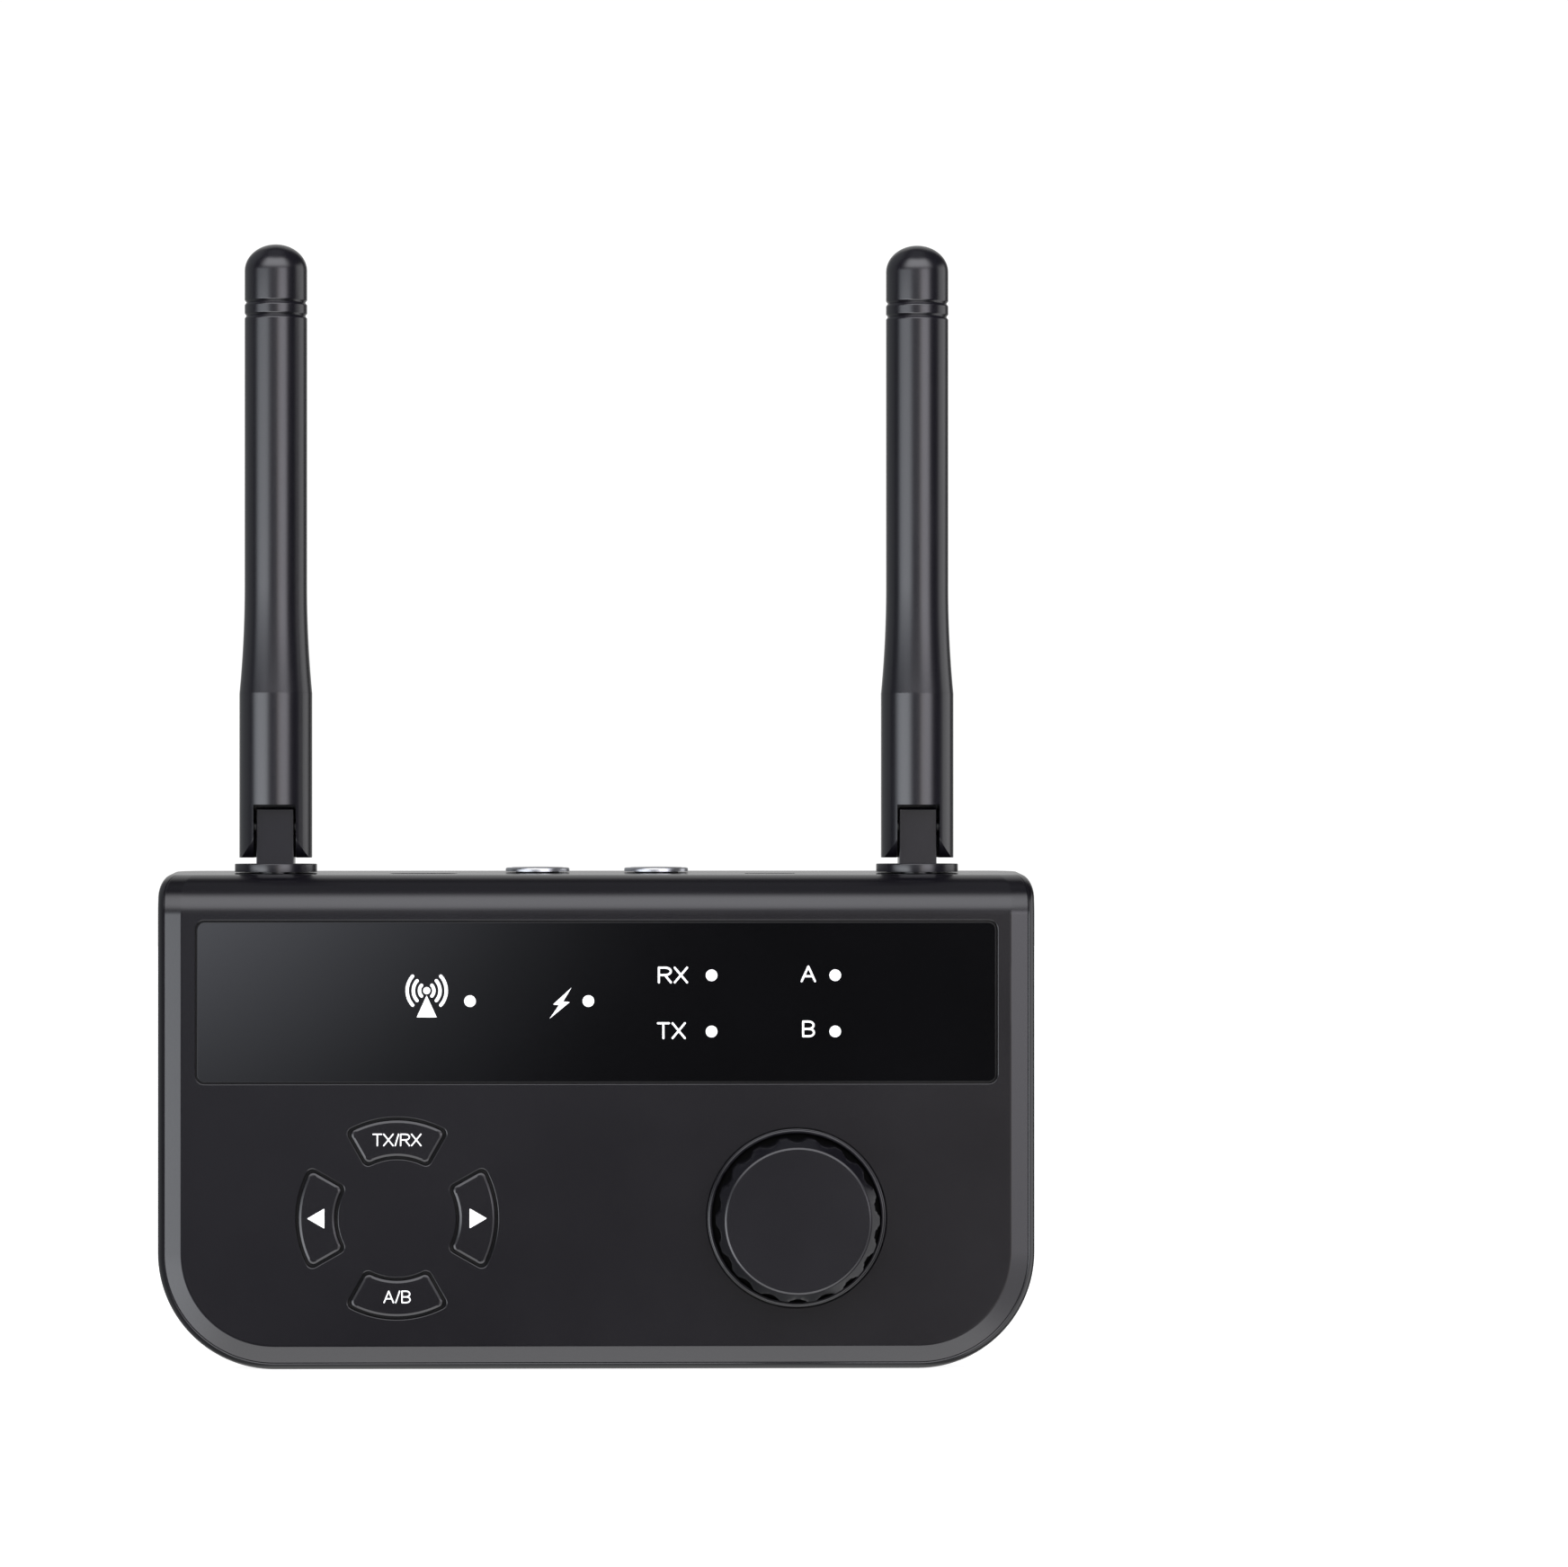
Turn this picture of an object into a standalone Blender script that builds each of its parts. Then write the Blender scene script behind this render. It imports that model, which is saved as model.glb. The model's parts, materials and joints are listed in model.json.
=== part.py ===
"""Wireless receiver unit: a plastic case with a display window, four sector buttons, a fluted knob
and two hinged stub antennas.

Units are metres, +Z up. X runs across the front with +X to the right as the front is looked at, and the
front faces -Y. The origin is the centre of the base of the whole unit's bounding box.
Depths into the case are measured from the front face, and heights from the bottom edge.
"""

import math

import bmesh
import bpy
from mathutils import Matrix, Vector

MM = 0.001

# Case, outer shape
HALF_WIDTH = 60.2 * MM
TOP = 68.0 * MM  # height of the top face halfway back
TOP_SLOPE = math.tan(math.radians(1.1))  # the top face falls towards the front
FRONT = -8.56 * MM  # Y of the front face
CASE_DEPTH = 25.5 * MM
BASE_DEPTH = 10.96 * MM  # depth of the case where the slanted back meets the bottom
BACK_SLANT = math.radians(15.94)
BACK_KNEE_RADIUS = 21.5 * MM
BOTTOM_CORNER = 16.0 * MM  # round corners in the front view
TOP_CORNER_X, TOP_CORNER_Z = 1.8 * MM, 3.2 * MM
FRONT_TOP_RADIUS = 5.6 * MM
BACK_TOP_RADIUS = 1.2 * MM
FRONT_EDGE = 1.2 * MM
BACK_EDGE = 4.0 * MM
BACK_BOTTOM_RADIUS = 1.9 * MM

# Shells
COVER_WALL = 1.75 * MM
HOUSING_WALL = 1.8 * MM
PARTING_GAP = 0.25 * MM
PARTING_RADIUS = 3.7 * MM
GAP = 0.3 * MM  # between pieces that rest on each other
CLOSE_GAP = 0.05 * MM  # between pieces that are soldered or pressed together
FINE_GAP = 0.06 * MM  # between a shaft and its bore
POST_END = 4.0 * MM  # depth where the cover's case posts meet the housing's
BOARD_POST_RADIUS, CASE_POST_RADIUS = 2.2 * MM, 3.0 * MM
SCREW_HEAD_HOLE, SCREW_SHANK_HOLE = 2.7 * MM, 1.4 * MM

# Display window and its lamps
WINDOW_LOW = Vector((-54.7 * MM, 39.46 * MM))
WINDOW_HIGH = Vector((54.75 * MM, 61.35 * MM))
WINDOW_CORNER = 1.0 * MM
WINDOW_THICKNESS = 0.9 * MM
WINDOW_POCKET = 1.05 * MM
WINDOW_GAP = 0.25 * MM
LED_RADIUS = 0.865 * MM
LED_PLACES = ((-17.38, 50.56), (-1.16, 50.56), (15.73, 54.08), (15.73, 46.37), (32.7, 54.08), (32.7, 46.37))

# Buttons: four sectors of a ring
BUTTONS_X, BUTTONS_Z = -27.37 * MM, 20.79 * MM
SECTOR_OUTER, SECTOR_INNER = 13.74 * MM, 8.14 * MM
SECTOR_HALF_ANGLE = math.radians(29.5)
SECTOR_GAP = 0.4 * MM
BUTTON_DEPTH = 3.4 * MM
BUTTON_FLANGE = 0.7 * MM
PLUNGER_RADIUS, PLUNGER_END = 1.4 * MM, 4.5 * MM
SWITCH_HALF, SWITCH_SHOULDER, ACTUATOR_RADIUS = 2.25 * MM, 5.6 * MM, 1.1 * MM  # tact switches
ACTUATOR_TIP = 5.1 * MM
BUTTON_NAMES = ("button_right", "button_up", "button_left", "button_down")

# Knob
KNOB_X, KNOB_Z = 27.4 * MM, 20.8 * MM
KNOB_RADIUS = 11.0 * MM
KNOB_FRONT = 8.38 * MM  # in front of the case
KNOB_SKIRT = 0.72 * MM  # behind the front face, in the recess
KNOB_FLUTES, FLUTE_DEPTH = 18, 0.36 * MM
KNOB_CHAMFER = 1.0 * MM
BEZEL_OUTER, BEZEL_INNER = 12.4 * MM, 11.72 * MM
BEZEL_PROUD = 0.16 * MM
KNOB_WALL = 1.5 * MM  # thickness of the face over the shaft
HOLLOW_RADIUS, HOLLOW_TOP = 8.6 * MM, 2.6 * MM  # room round the nut
ENCODER_HALF = 6.0 * MM
NUT_RADIUS, NUT_FRONT = 5.4 * MM, 0.9 * MM
SHAFT_RADIUS, BUSHING_RADIUS = 3.0 * MM, 3.6 * MM

# Antennas
ANTENNA_X = 44.55 * MM
BASE_Y = 5.37 * MM
SLEEVE_Y = 4.85 * MM
PIN_Z = 74.4 * MM
COLLAR_RADIUS, COLLAR_TOP = 5.7 * MM, 69.3 * MM
STEM_RADIUS, STEM_BOTTOM = 3.0 * MM, 62.6 * MM
KNUCKLE_HALF_X, KNUCKLE_HALF_Y = 2.585 * MM, 2.97 * MM
KNUCKLE_TOP, KNUCKLE_CORNER = 77.1 * MM, 0.4 * MM
COLLAR_LIFT = 0.25 * MM  # above the case
CLIP_HEIGHT, CLIP_DEPTH, CLIP_WIDTH = 0.8 * MM, 0.6 * MM, 0.9 * MM  # groove of the retaining ring
HINGE_PIN_RADIUS, HINGE_PIN_HALF = 1.0 * MM, 4.2 * MM
SLEEVE_BOTTOM, SLEEVE_TOP = 70.15 * MM, 93.0 * MM
SLEEVE_RADIUS, CABLE_BORE = 5.01 * MM, 1.3 * MM
SLOT_HALF, SLOT_TOP = 2.94 * MM, 77.5 * MM
EAR_RADIUS = 4.87 * MM
SPIGOT_RADIUS, SPIGOT_TOP = 3.1 * MM, 99.0 * MM
RADOME_RADIUS, RADOME_TOP = 4.29 * MM, 155.4 * MM
FLARE_TOP = 108.0 * MM
DOME_START = 151.8 * MM
GROOVES = (145.45 * MM, 147.3 * MM)
GROOVE_DEPTH, GROOVE_HALF = 0.25 * MM, 0.35 * MM

# Sockets in the top wall
JACK_X, JACK_Y = 8.25 * MM, 7.24 * MM
JACK_RING_RADIUS, JACK_NOSE_RADIUS, JACK_BORE = 4.45 * MM, 3.0 * MM, 1.8 * MM
JACK_PROUD = 0.7 * MM
USB_X, USB_Y = -24.0 * MM, 1.8 * MM
USB_SIZE = Vector((8.94 * MM, 3.2 * MM, 7.3 * MM))
SWITCH_X, SWITCH_Y = 24.0 * MM, 2.6 * MM
SWITCH_TRAVEL = 2.0 * MM
SWITCH_SLOT = Vector((3.4 * MM, 1.2 * MM))  # half sizes of the opening in the cover
PORT_DEPTH = 8.35 * MM  # depth where the bodies behind the board start

# Inside
BOARD_FRONT, BOARD_THICKNESS = 7.0 * MM, 1.2 * MM
BOARD_SCREWS = ((-45.0, 19.0), (45.0, 19.0), (-45.0, 56.5), (45.0, 56.5))
CASE_SCREWS = ((-54.0, 60.0), (54.0, 60.0), (-47.0, 10.0), (47.0, 10.0))


# ---------------------------------------------------------------- helpers


def clear_scene():
    for old in list(bpy.data.objects):
        bpy.data.objects.remove(old, do_unlink=True)


def material(name, colour, roughness, metallic=0.0):
    made = bpy.data.materials.new(name)
    made.use_nodes = True
    shader = made.node_tree.nodes["Principled BSDF"]
    shader.inputs["Base Color"].default_value = (*colour, 1.0)
    shader.inputs["Roughness"].default_value = roughness
    shader.inputs["Metallic"].default_value = metallic
    made.diffuse_color = (*colour, 1.0)
    return made


def loft(shape, rings):
    """A closed skin through rings of equal length, capped at both ends."""
    rows = [[shape.verts.new(point) for point in ring] for ring in rings]
    for low, high in zip(rows, rows[1:]):
        for i in range(len(low)):
            j = (i + 1) % len(low)
            shape.faces.new((low[i], low[j], high[j], high[i]))
    shape.faces.new(rows[0][::-1])
    shape.faces.new(rows[-1])


def prism(shape, outline, low, high, axis="Y"):
    """An outline swept along an axis. Along Y the outline is (x, z), along X (y, z), along Z (x, y)."""
    place = {
        "X": lambda point, at: (at, point[0], point[1]),
        "Y": lambda point, at: (point[0], at, point[1]),
        "Z": lambda point, at: (point[0], point[1], at),
    }[axis]
    loft(shape, [[place(point, at) for point in outline] for at in (low, high)])


def box(shape, low, high):
    outline = ((low[0], low[1]), (high[0], low[1]), (high[0], high[1]), (low[0], high[1]))
    prism(shape, outline, low[2], high[2], "Z")


def circle(centre, radius, count=20):
    angles = [2 * math.pi * i / count for i in range(count)]
    return [(centre[0] + radius * math.cos(a), centre[1] + radius * math.sin(a)) for a in angles]


def rod(shape, centre, radius, low, high, axis="Y", count=20):
    prism(shape, circle(centre, radius, count), low, high, axis)


def arc(centre, radius_x, radius_y, start, end, count):
    """Points of an elliptical arc, angles in degrees."""
    angles = [math.radians(start + (end - start) * i / count) for i in range(count + 1)]
    return [(centre[0] + radius_x * math.cos(a), centre[1] + radius_y * math.sin(a)) for a in angles]


def round_rectangle(low, high, radius, count=3):
    points = []
    corners = ((high[0], high[1], 0), (low[0], high[1], 90), (low[0], low[1], 180), (high[0], low[1], 270))
    for x, y, start in corners:
        centre = (x + (radius if x == low[0] else -radius), y + (radius if y == low[1] else -radius))
        points += arc(centre, radius, radius, start, start + 90, count)
    return points


def lathe(shape, profile, count=24):
    """Turns (radius, height) points about Z. A profile that starts and ends on the axis makes a solid,
    and one that doesn't is closed on itself and makes a ring."""
    ring = profile[0][0] > 0
    rows = []
    for radius, height in profile:
        if radius == 0:
            rows.append([shape.verts.new((0, 0, height))] * count)
        else:
            rows.append([shape.verts.new((x, y, height)) for x, y in circle((0, 0), radius, count)])
    pairs = list(zip(rows, rows[1:]))
    if ring:
        pairs.append((rows[-1], rows[0]))
    for low, high in pairs:
        for i in range(count):
            j = (i + 1) % count
            corners = [low[i], low[j], high[j], high[i]]
            shape.faces.new(list(dict.fromkeys(corners)))


def turn_to_y(shape):
    """Lays a shape turned about Z along the Y axis, its top towards the front (-Y)."""
    bmesh.ops.rotate(shape, verts=shape.verts, matrix=Matrix.Rotation(math.radians(90), 3, "X"))


def add_object(name, shape, look=None, place=(0, 0, 0), parent=None):
    bmesh.ops.recalc_face_normals(shape, faces=shape.faces)
    mesh = bpy.data.meshes.new(name)
    shape.to_mesh(mesh)
    shape.free()
    return add_mesh(name, mesh, look, place, parent)


def add_mesh(name, mesh, look=None, place=(0, 0, 0), parent=None):
    made = bpy.data.objects.new(name, mesh)
    bpy.context.scene.collection.objects.link(made)
    made.location = place
    made.parent = parent
    if look and not mesh.materials:
        mesh.materials.append(look)
        mesh.shade_smooth()
        mesh.set_sharp_from_angle(angle=math.radians(35))
    return made


def empty(name, place, parent=None):
    made = bpy.data.objects.new(name, None)
    bpy.context.scene.collection.objects.link(made)
    made.location = place
    made.parent = parent
    return made


def helper(name, shape, place=(0, 0, 0), parent=None):
    """A hidden solid for a Boolean."""
    made = add_object(name, shape, None, place, parent)
    made.hide_render = True
    made.display_type = "WIRE"
    return made


def combine(target, operation, other):
    modifier = target.modifiers.new(other.name, "BOOLEAN")
    modifier.operation = operation
    modifier.object = other
    modifier.solver = "EXACT"


def depth_y(depth):
    return FRONT + depth


# ---------------------------------------------------------------- case outline


def back_depth(z):
    """Depth of the case's back at a height: slanted below the knee, upright above it."""
    tangent = BACK_KNEE_RADIUS * math.tan(BACK_SLANT / 2)
    slope = math.tan(BACK_SLANT)
    knee = (CASE_DEPTH - BASE_DEPTH) / slope
    start, end = knee - tangent * math.cos(BACK_SLANT), knee + tangent
    if z >= end:
        return CASE_DEPTH
    if z <= start:
        return BASE_DEPTH + slope * z
    return CASE_DEPTH - BACK_KNEE_RADIUS + math.sqrt(BACK_KNEE_RADIUS**2 - (end - z) ** 2)


def rounded(distance, radius):
    """How far a quarter-round edge has fallen back at a distance from its end, where it is largest."""
    if distance >= radius:
        return 0.0
    return radius - math.sqrt(radius**2 - (radius - distance) ** 2)


def half_width(z, inset):
    """Half the case's width at a height, from its round bottom corners and small top corners."""
    radius = BOTTOM_CORNER - inset
    if z < BOTTOM_CORNER:
        drop = min(BOTTOM_CORNER - z, radius)
        return HALF_WIDTH - BOTTOM_CORNER + math.sqrt(radius**2 - drop**2)
    above = z - (TOP - TOP_CORNER_Z)
    if inset or above <= 0:
        return HALF_WIDTH - inset
    return HALF_WIDTH - TOP_CORNER_X * (1 - math.sqrt(1 - min(above / TOP_CORNER_Z, 1.0) ** 2))


def case_ring(z, inset=0.0, front=None):
    """The case's outline at a height, seen from above. With an inset it is the inner wall's outline."""
    x = half_width(z, inset)
    back = depth_y(back_depth(z) - inset)
    front_radius, back_radius = 0.2 * MM, BACK_EDGE - inset
    if front is None:
        front = depth_y(rounded(z, FRONT_EDGE) + rounded(TOP - z, FRONT_TOP_RADIUS))
        back -= rounded(z, BACK_BOTTOM_RADIUS) + rounded(TOP - z, BACK_TOP_RADIUS)
        front_radius = FRONT_EDGE
    points = arc((x - back_radius, back - back_radius), back_radius, back_radius, 0, 90, 4)
    points += arc((back_radius - x, back - back_radius), back_radius, back_radius, 90, 180, 4)
    points += arc((front_radius - x, front + front_radius), front_radius, front_radius, 180, 270, 2)
    points += arc((x - front_radius, front + front_radius), front_radius, front_radius, 270, 360, 2)
    lift = max(0.0, (z - TOP + FRONT_TOP_RADIUS) / FRONT_TOP_RADIUS) * TOP_SLOPE
    middle = depth_y(CASE_DEPTH / 2)
    return [(px, py, z + lift * (py - middle)) for px, py in points]


def case_outer(shape):
    corner = [BOTTOM_CORNER - BOTTOM_CORNER * math.cos(math.radians(a)) for a in (24, 38, 52, 70, 90)]
    levels = [0.0, 0.3 * MM, 0.7 * MM, 1.3 * MM, *corner]
    levels += [48.0 * MM, 49.8 * MM, 51.6 * MM, 54.4 * MM]
    levels += [TOP - FRONT_TOP_RADIUS * (1 - math.sin(math.radians(a))) for a in (0, 22, 45, 62, 78, 90)]
    loft(shape, [case_ring(z) for z in levels])


def case_cavity(shape):
    """The space inside the housing, open at the front and the top."""
    radius = BOTTOM_CORNER - HOUSING_WALL
    corner = [BOTTOM_CORNER - radius * math.cos(math.radians(a)) for a in (0, 14, 30, 50, 70, 90)]
    levels = [*corner, 48.0 * MM, 49.8 * MM, 51.6 * MM, 54.4 * MM, 80.0 * MM]
    front = FRONT - 10.0 * MM
    loft(shape, [case_ring(z, HOUSING_WALL, front) for z in levels])


def top_height(y):
    return TOP + TOP_SLOPE * (y - depth_y(CASE_DEPTH / 2))


def inside_parting(shape, wall):
    """Everything further than the wall from the front and top faces."""
    front, back = depth_y(wall), 30.0 * MM
    corner = Vector((front + PARTING_RADIUS, top_height(front) - wall - PARTING_RADIUS))
    outline = [(back, -5.0 * MM), (back, top_height(back) - wall)]
    outline += arc(corner, PARTING_RADIUS, PARTING_RADIUS, 90, 180, 5)
    outline.append((front, -5.0 * MM))
    prism(shape, outline, -80.0 * MM, 80.0 * MM, "X")


# ---------------------------------------------------------------- front cover and rear housing


def sector(grow, count=7):
    """Outline of a button's sector about the ring's centre, centred on +X, grown on every side."""
    outer, inner = SECTOR_OUTER + grow, SECTOR_INNER - grow
    half_outer = SECTOR_HALF_ANGLE + grow / outer
    half_inner = SECTOR_HALF_ANGLE + grow / inner
    edges = ((outer, half_outer, 1), (inner, half_inner, -1))
    points = []
    for radius, half, way in edges:
        for i in range(count + 1):
            angle = way * half * (2 * i / count - 1)
            points.append((radius * math.cos(angle), radius * math.sin(angle)))
    return points


def sector_at(turn, grow):
    """The sector turned to its place on the front, as (x, z)."""
    cosine, sine = math.cos(turn), math.sin(turn)
    return [
        (BUTTONS_X + x * cosine - z * sine, BUTTONS_Z + x * sine + z * cosine) for x, z in sector(grow)
    ]


def cover_posts(shape):
    start = depth_y(COVER_WALL - 0.4 * MM)
    for x, z in BOARD_SCREWS:
        rod(shape, (x * MM, z * MM), BOARD_POST_RADIUS, start, depth_y(BOARD_FRONT - GAP), count=12)
    for x, z in CASE_SCREWS:
        rod(shape, (x * MM, z * MM), CASE_POST_RADIUS, start, depth_y(POST_END), count=12)


def cover_cuts(shape):
    """Pocket, openings and holes of the front cover. No two of these solids meet."""
    grow = Vector((WINDOW_GAP, WINDOW_GAP))
    pocket = round_rectangle(WINDOW_LOW - grow, WINDOW_HIGH + grow, WINDOW_CORNER + WINDOW_GAP)
    prism(shape, pocket, FRONT - 2 * MM, depth_y(WINDOW_POCKET))
    rod(shape, (KNOB_X, KNOB_Z), BEZEL_OUTER + 0.1 * MM, FRONT - 2 * MM, depth_y(WINDOW_POCKET), count=36)
    for i in range(4):
        prism(shape, sector_at(i * math.pi / 2, 0.0), FRONT - 2 * MM, depth_y(COVER_WALL + 1 * MM))
    for x, z in (*BOARD_SCREWS, *CASE_SCREWS):
        radius = 0.8 if (x, z) in BOARD_SCREWS else 1.1
        rod(shape, (x * MM, z * MM), radius * MM, depth_y(COVER_WALL + 0.3 * MM), depth_y(8 * MM), count=10)
    low, high = TOP - 4 * MM, TOP + 4 * MM
    for side in (-1, 1):
        rod(shape, (side * ANTENNA_X, BASE_Y), STEM_RADIUS + GAP, low, high, "Z")
        rod(shape, (side * JACK_X, JACK_Y), JACK_NOSE_RADIUS + 0.2 * MM, low, high, "Z")
    prism(shape, usb_outline(0.15 * MM), low, high, "Z")
    slot = SWITCH_SLOT
    box(shape, (SWITCH_X - slot.x, SWITCH_Y - slot.y, low), (SWITCH_X + slot.x, SWITCH_Y + slot.y, high))


def cover_floor_holes(shape):
    """Holes through the floors of the window pocket and the knob recess."""
    for x, z in LED_PLACES:
        rod(shape, (x * MM, z * MM), LED_RADIUS + 0.25 * MM, depth_y(0.5 * MM), depth_y(3 * MM), count=12)
    rod(shape, (KNOB_X, KNOB_Z), BUSHING_RADIUS + 0.3 * MM, depth_y(0.5 * MM), depth_y(3 * MM), count=20)


def make_front_cover(look):
    shape = bmesh.new()
    case_outer(shape)
    cover = add_object("front_cover", shape, look)
    steps = (
        ("DIFFERENCE", "cover_inside", lambda s: inside_parting(s, COVER_WALL)),
        ("UNION", "cover_posts", cover_posts),
        ("DIFFERENCE", "cover_cuts", cover_cuts),
        ("DIFFERENCE", "cover_floor_holes", cover_floor_holes),
    )
    for operation, name, build in steps:
        shape = bmesh.new()
        build(shape)
        combine(cover, operation, helper(name, shape))


def housing_posts(shape):
    for x, z in CASE_SCREWS:
        end = depth_y(back_depth(z * MM - CASE_POST_RADIUS) - 0.6 * MM)
        rod(shape, (x * MM, z * MM), CASE_POST_RADIUS, depth_y(POST_END + GAP), end, count=12)


def screw_seat(z):
    """Depth of the floor of a case screw's counterbore."""
    return back_depth(z * MM - SCREW_HEAD_HOLE) - 2.2 * MM


def housing_holes(shape):
    for x, z in CASE_SCREWS:
        seat = depth_y(screw_seat(z))
        outside = seat + 10 * MM
        profile = (
            (0.0, FRONT),
            (SCREW_SHANK_HOLE, FRONT),
            (SCREW_SHANK_HOLE, seat),
            (SCREW_HEAD_HOLE, seat),
            (SCREW_HEAD_HOLE, outside),
            (0.0, outside),
        )
        turned = bmesh.new()
        lathe(turned, [(radius, -y) for radius, y in profile], 16)
        turn_to_y(turned)
        bmesh.ops.translate(turned, verts=turned.verts, vec=(x * MM, 0, z * MM))
        append(shape, turned)


def append(shape, other):
    """Adds another shape's solids to this one and frees the other."""
    mesh = bpy.data.meshes.new("appended")
    other.to_mesh(mesh)
    other.free()
    shape.from_mesh(mesh)
    bpy.data.meshes.remove(mesh)


def make_rear_housing(look):
    shape = bmesh.new()
    case_outer(shape)
    housing = add_object("rear_housing", shape, look)
    steps = (
        ("INTERSECT", "housing_region", lambda s: inside_parting(s, COVER_WALL + PARTING_GAP)),
        ("DIFFERENCE", "housing_cavity", case_cavity),
        ("UNION", "housing_posts", housing_posts),
        ("DIFFERENCE", "housing_holes", housing_holes),
    )
    for operation, name, build in steps:
        shape = bmesh.new()
        build(shape)
        combine(housing, operation, helper(name, shape))


def make_window(look):
    shape = bmesh.new()
    outline = round_rectangle(WINDOW_LOW, WINDOW_HIGH, WINDOW_CORNER)
    prism(shape, outline, FRONT, FRONT + WINDOW_THICKNESS)
    add_object("display_window", shape, look)


# ---------------------------------------------------------------- buttons


def make_buttons(look):
    for i, name in enumerate(BUTTON_NAMES):
        turn = i * math.pi / 2
        middle = (SECTOR_OUTER + SECTOR_INNER) / 2
        place = Vector((BUTTONS_X + middle * math.cos(turn), 0, BUTTONS_Z + middle * math.sin(turn)))
        shape = bmesh.new()
        cap, flange = sector_at(turn, -SECTOR_GAP), sector_at(turn, BUTTON_FLANGE)
        waist, rear = depth_y(COVER_WALL + GAP), depth_y(BUTTON_DEPTH)
        rings = ((cap, FRONT), (cap, waist), (flange, waist), (flange, rear))
        loft(shape, [[(x, y, z) for x, z in outline] for outline, y in rings])
        bmesh.ops.translate(shape, verts=shape.verts, vec=-place)
        button = add_object(name, shape, look, place)
        shape = bmesh.new()
        rod(shape, (0, 0), PLUNGER_RADIUS, rear - 0.5 * MM, depth_y(PLUNGER_END), count=12)
        combine(button, "UNION", helper(name + "_plunger", shape, place))


def square(half, count=12):
    """A square outline with as many points as a circle of the same count."""
    points = []
    for x, z in circle((0, 0), 1.0, count):
        reach = half / max(abs(x), abs(z))
        points.append((x * reach, z * reach))
    return points


def tact_switch(shape):
    """Square body and round actuator, towards the front."""
    body, actuator = square(SWITCH_HALF), circle((0, 0), ACTUATOR_RADIUS, 12)
    rear, shoulder, tip = depth_y(BOARD_FRONT - CLOSE_GAP), depth_y(SWITCH_SHOULDER), depth_y(ACTUATOR_TIP)
    rings = ((body, rear), (body, shoulder), (actuator, shoulder), (actuator, tip))
    loft(shape, [[(x, y, z) for x, z in outline] for outline, y in rings])


def make_tact_switches(look):
    switch = mesh_of("tact_switch", tact_switch)
    middle = (SECTOR_OUTER + SECTOR_INNER) / 2
    for i in range(4):
        turn = i * math.pi / 2
        place = (BUTTONS_X + middle * math.cos(turn), 0, BUTTONS_Z + middle * math.sin(turn))
        add_mesh(f"tact_switch_{i + 1}", switch, look, place)


# ---------------------------------------------------------------- knob


def flute_ring(radius, y, count=4):
    """A ring of scallops: the radius dips between evenly spaced ridges."""
    points = []
    for i in range(KNOB_FLUTES * count):
        angle = 2 * math.pi * i / (KNOB_FLUTES * count)
        dip = FLUTE_DEPTH * abs(math.sin(KNOB_FLUTES * angle / 2))
        points.append(((radius - dip) * math.cos(angle), y, (radius - dip) * math.sin(angle)))
    return points


def make_knob(knob_look, shaft_look):
    place = (KNOB_X, FRONT, KNOB_Z)
    shape = bmesh.new()
    face = -KNOB_FRONT
    levels = (
        (KNOB_RADIUS, KNOB_SKIRT),
        (KNOB_RADIUS, face + KNOB_CHAMFER),
        (KNOB_RADIUS - 0.55 * MM, face + 0.3 * MM),
        (KNOB_RADIUS - KNOB_CHAMFER, face),
    )
    loft(shape, [flute_ring(radius, y) for radius, y in levels])
    knob = add_object("knob", shape, knob_look, place)
    hollow = bmesh.new()
    bore, roof, mouth = SHAFT_RADIUS + FINE_GAP, KNOB_FRONT - KNOB_WALL, -3 * MM
    profile = (
        (0.0, roof),
        (bore, roof),
        (bore, HOLLOW_TOP),
        (HOLLOW_RADIUS, HOLLOW_TOP),
        (HOLLOW_RADIUS, mouth),
        (0.0, mouth),
    )
    lathe(hollow, profile, 24)
    turn_to_y(hollow)
    combine(knob, "DIFFERENCE", helper("knob_hollow", hollow, place))

    shaft = bmesh.new()
    rod(shaft, (0, 0), SHAFT_RADIUS, -KNOB_FRONT + 1.8 * MM, 5.0 * MM, count=24)
    add_object("encoder_shaft", shaft, shaft_look, place)


def make_knob_bezel(look):
    shape = bmesh.new()
    rear, front, bevel = -1.0 * MM, BEZEL_PROUD, 0.12 * MM
    profile = (
        (BEZEL_OUTER, rear),
        (BEZEL_OUTER, front - bevel),
        (BEZEL_OUTER - bevel, front),
        (BEZEL_INNER + bevel, front),
        (BEZEL_INNER, front - bevel),
        (BEZEL_INNER, rear),
    )
    lathe(shape, profile, 36)
    turn_to_y(shape)
    add_object("knob_bezel", shape, look, (KNOB_X, FRONT, KNOB_Z))


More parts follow.
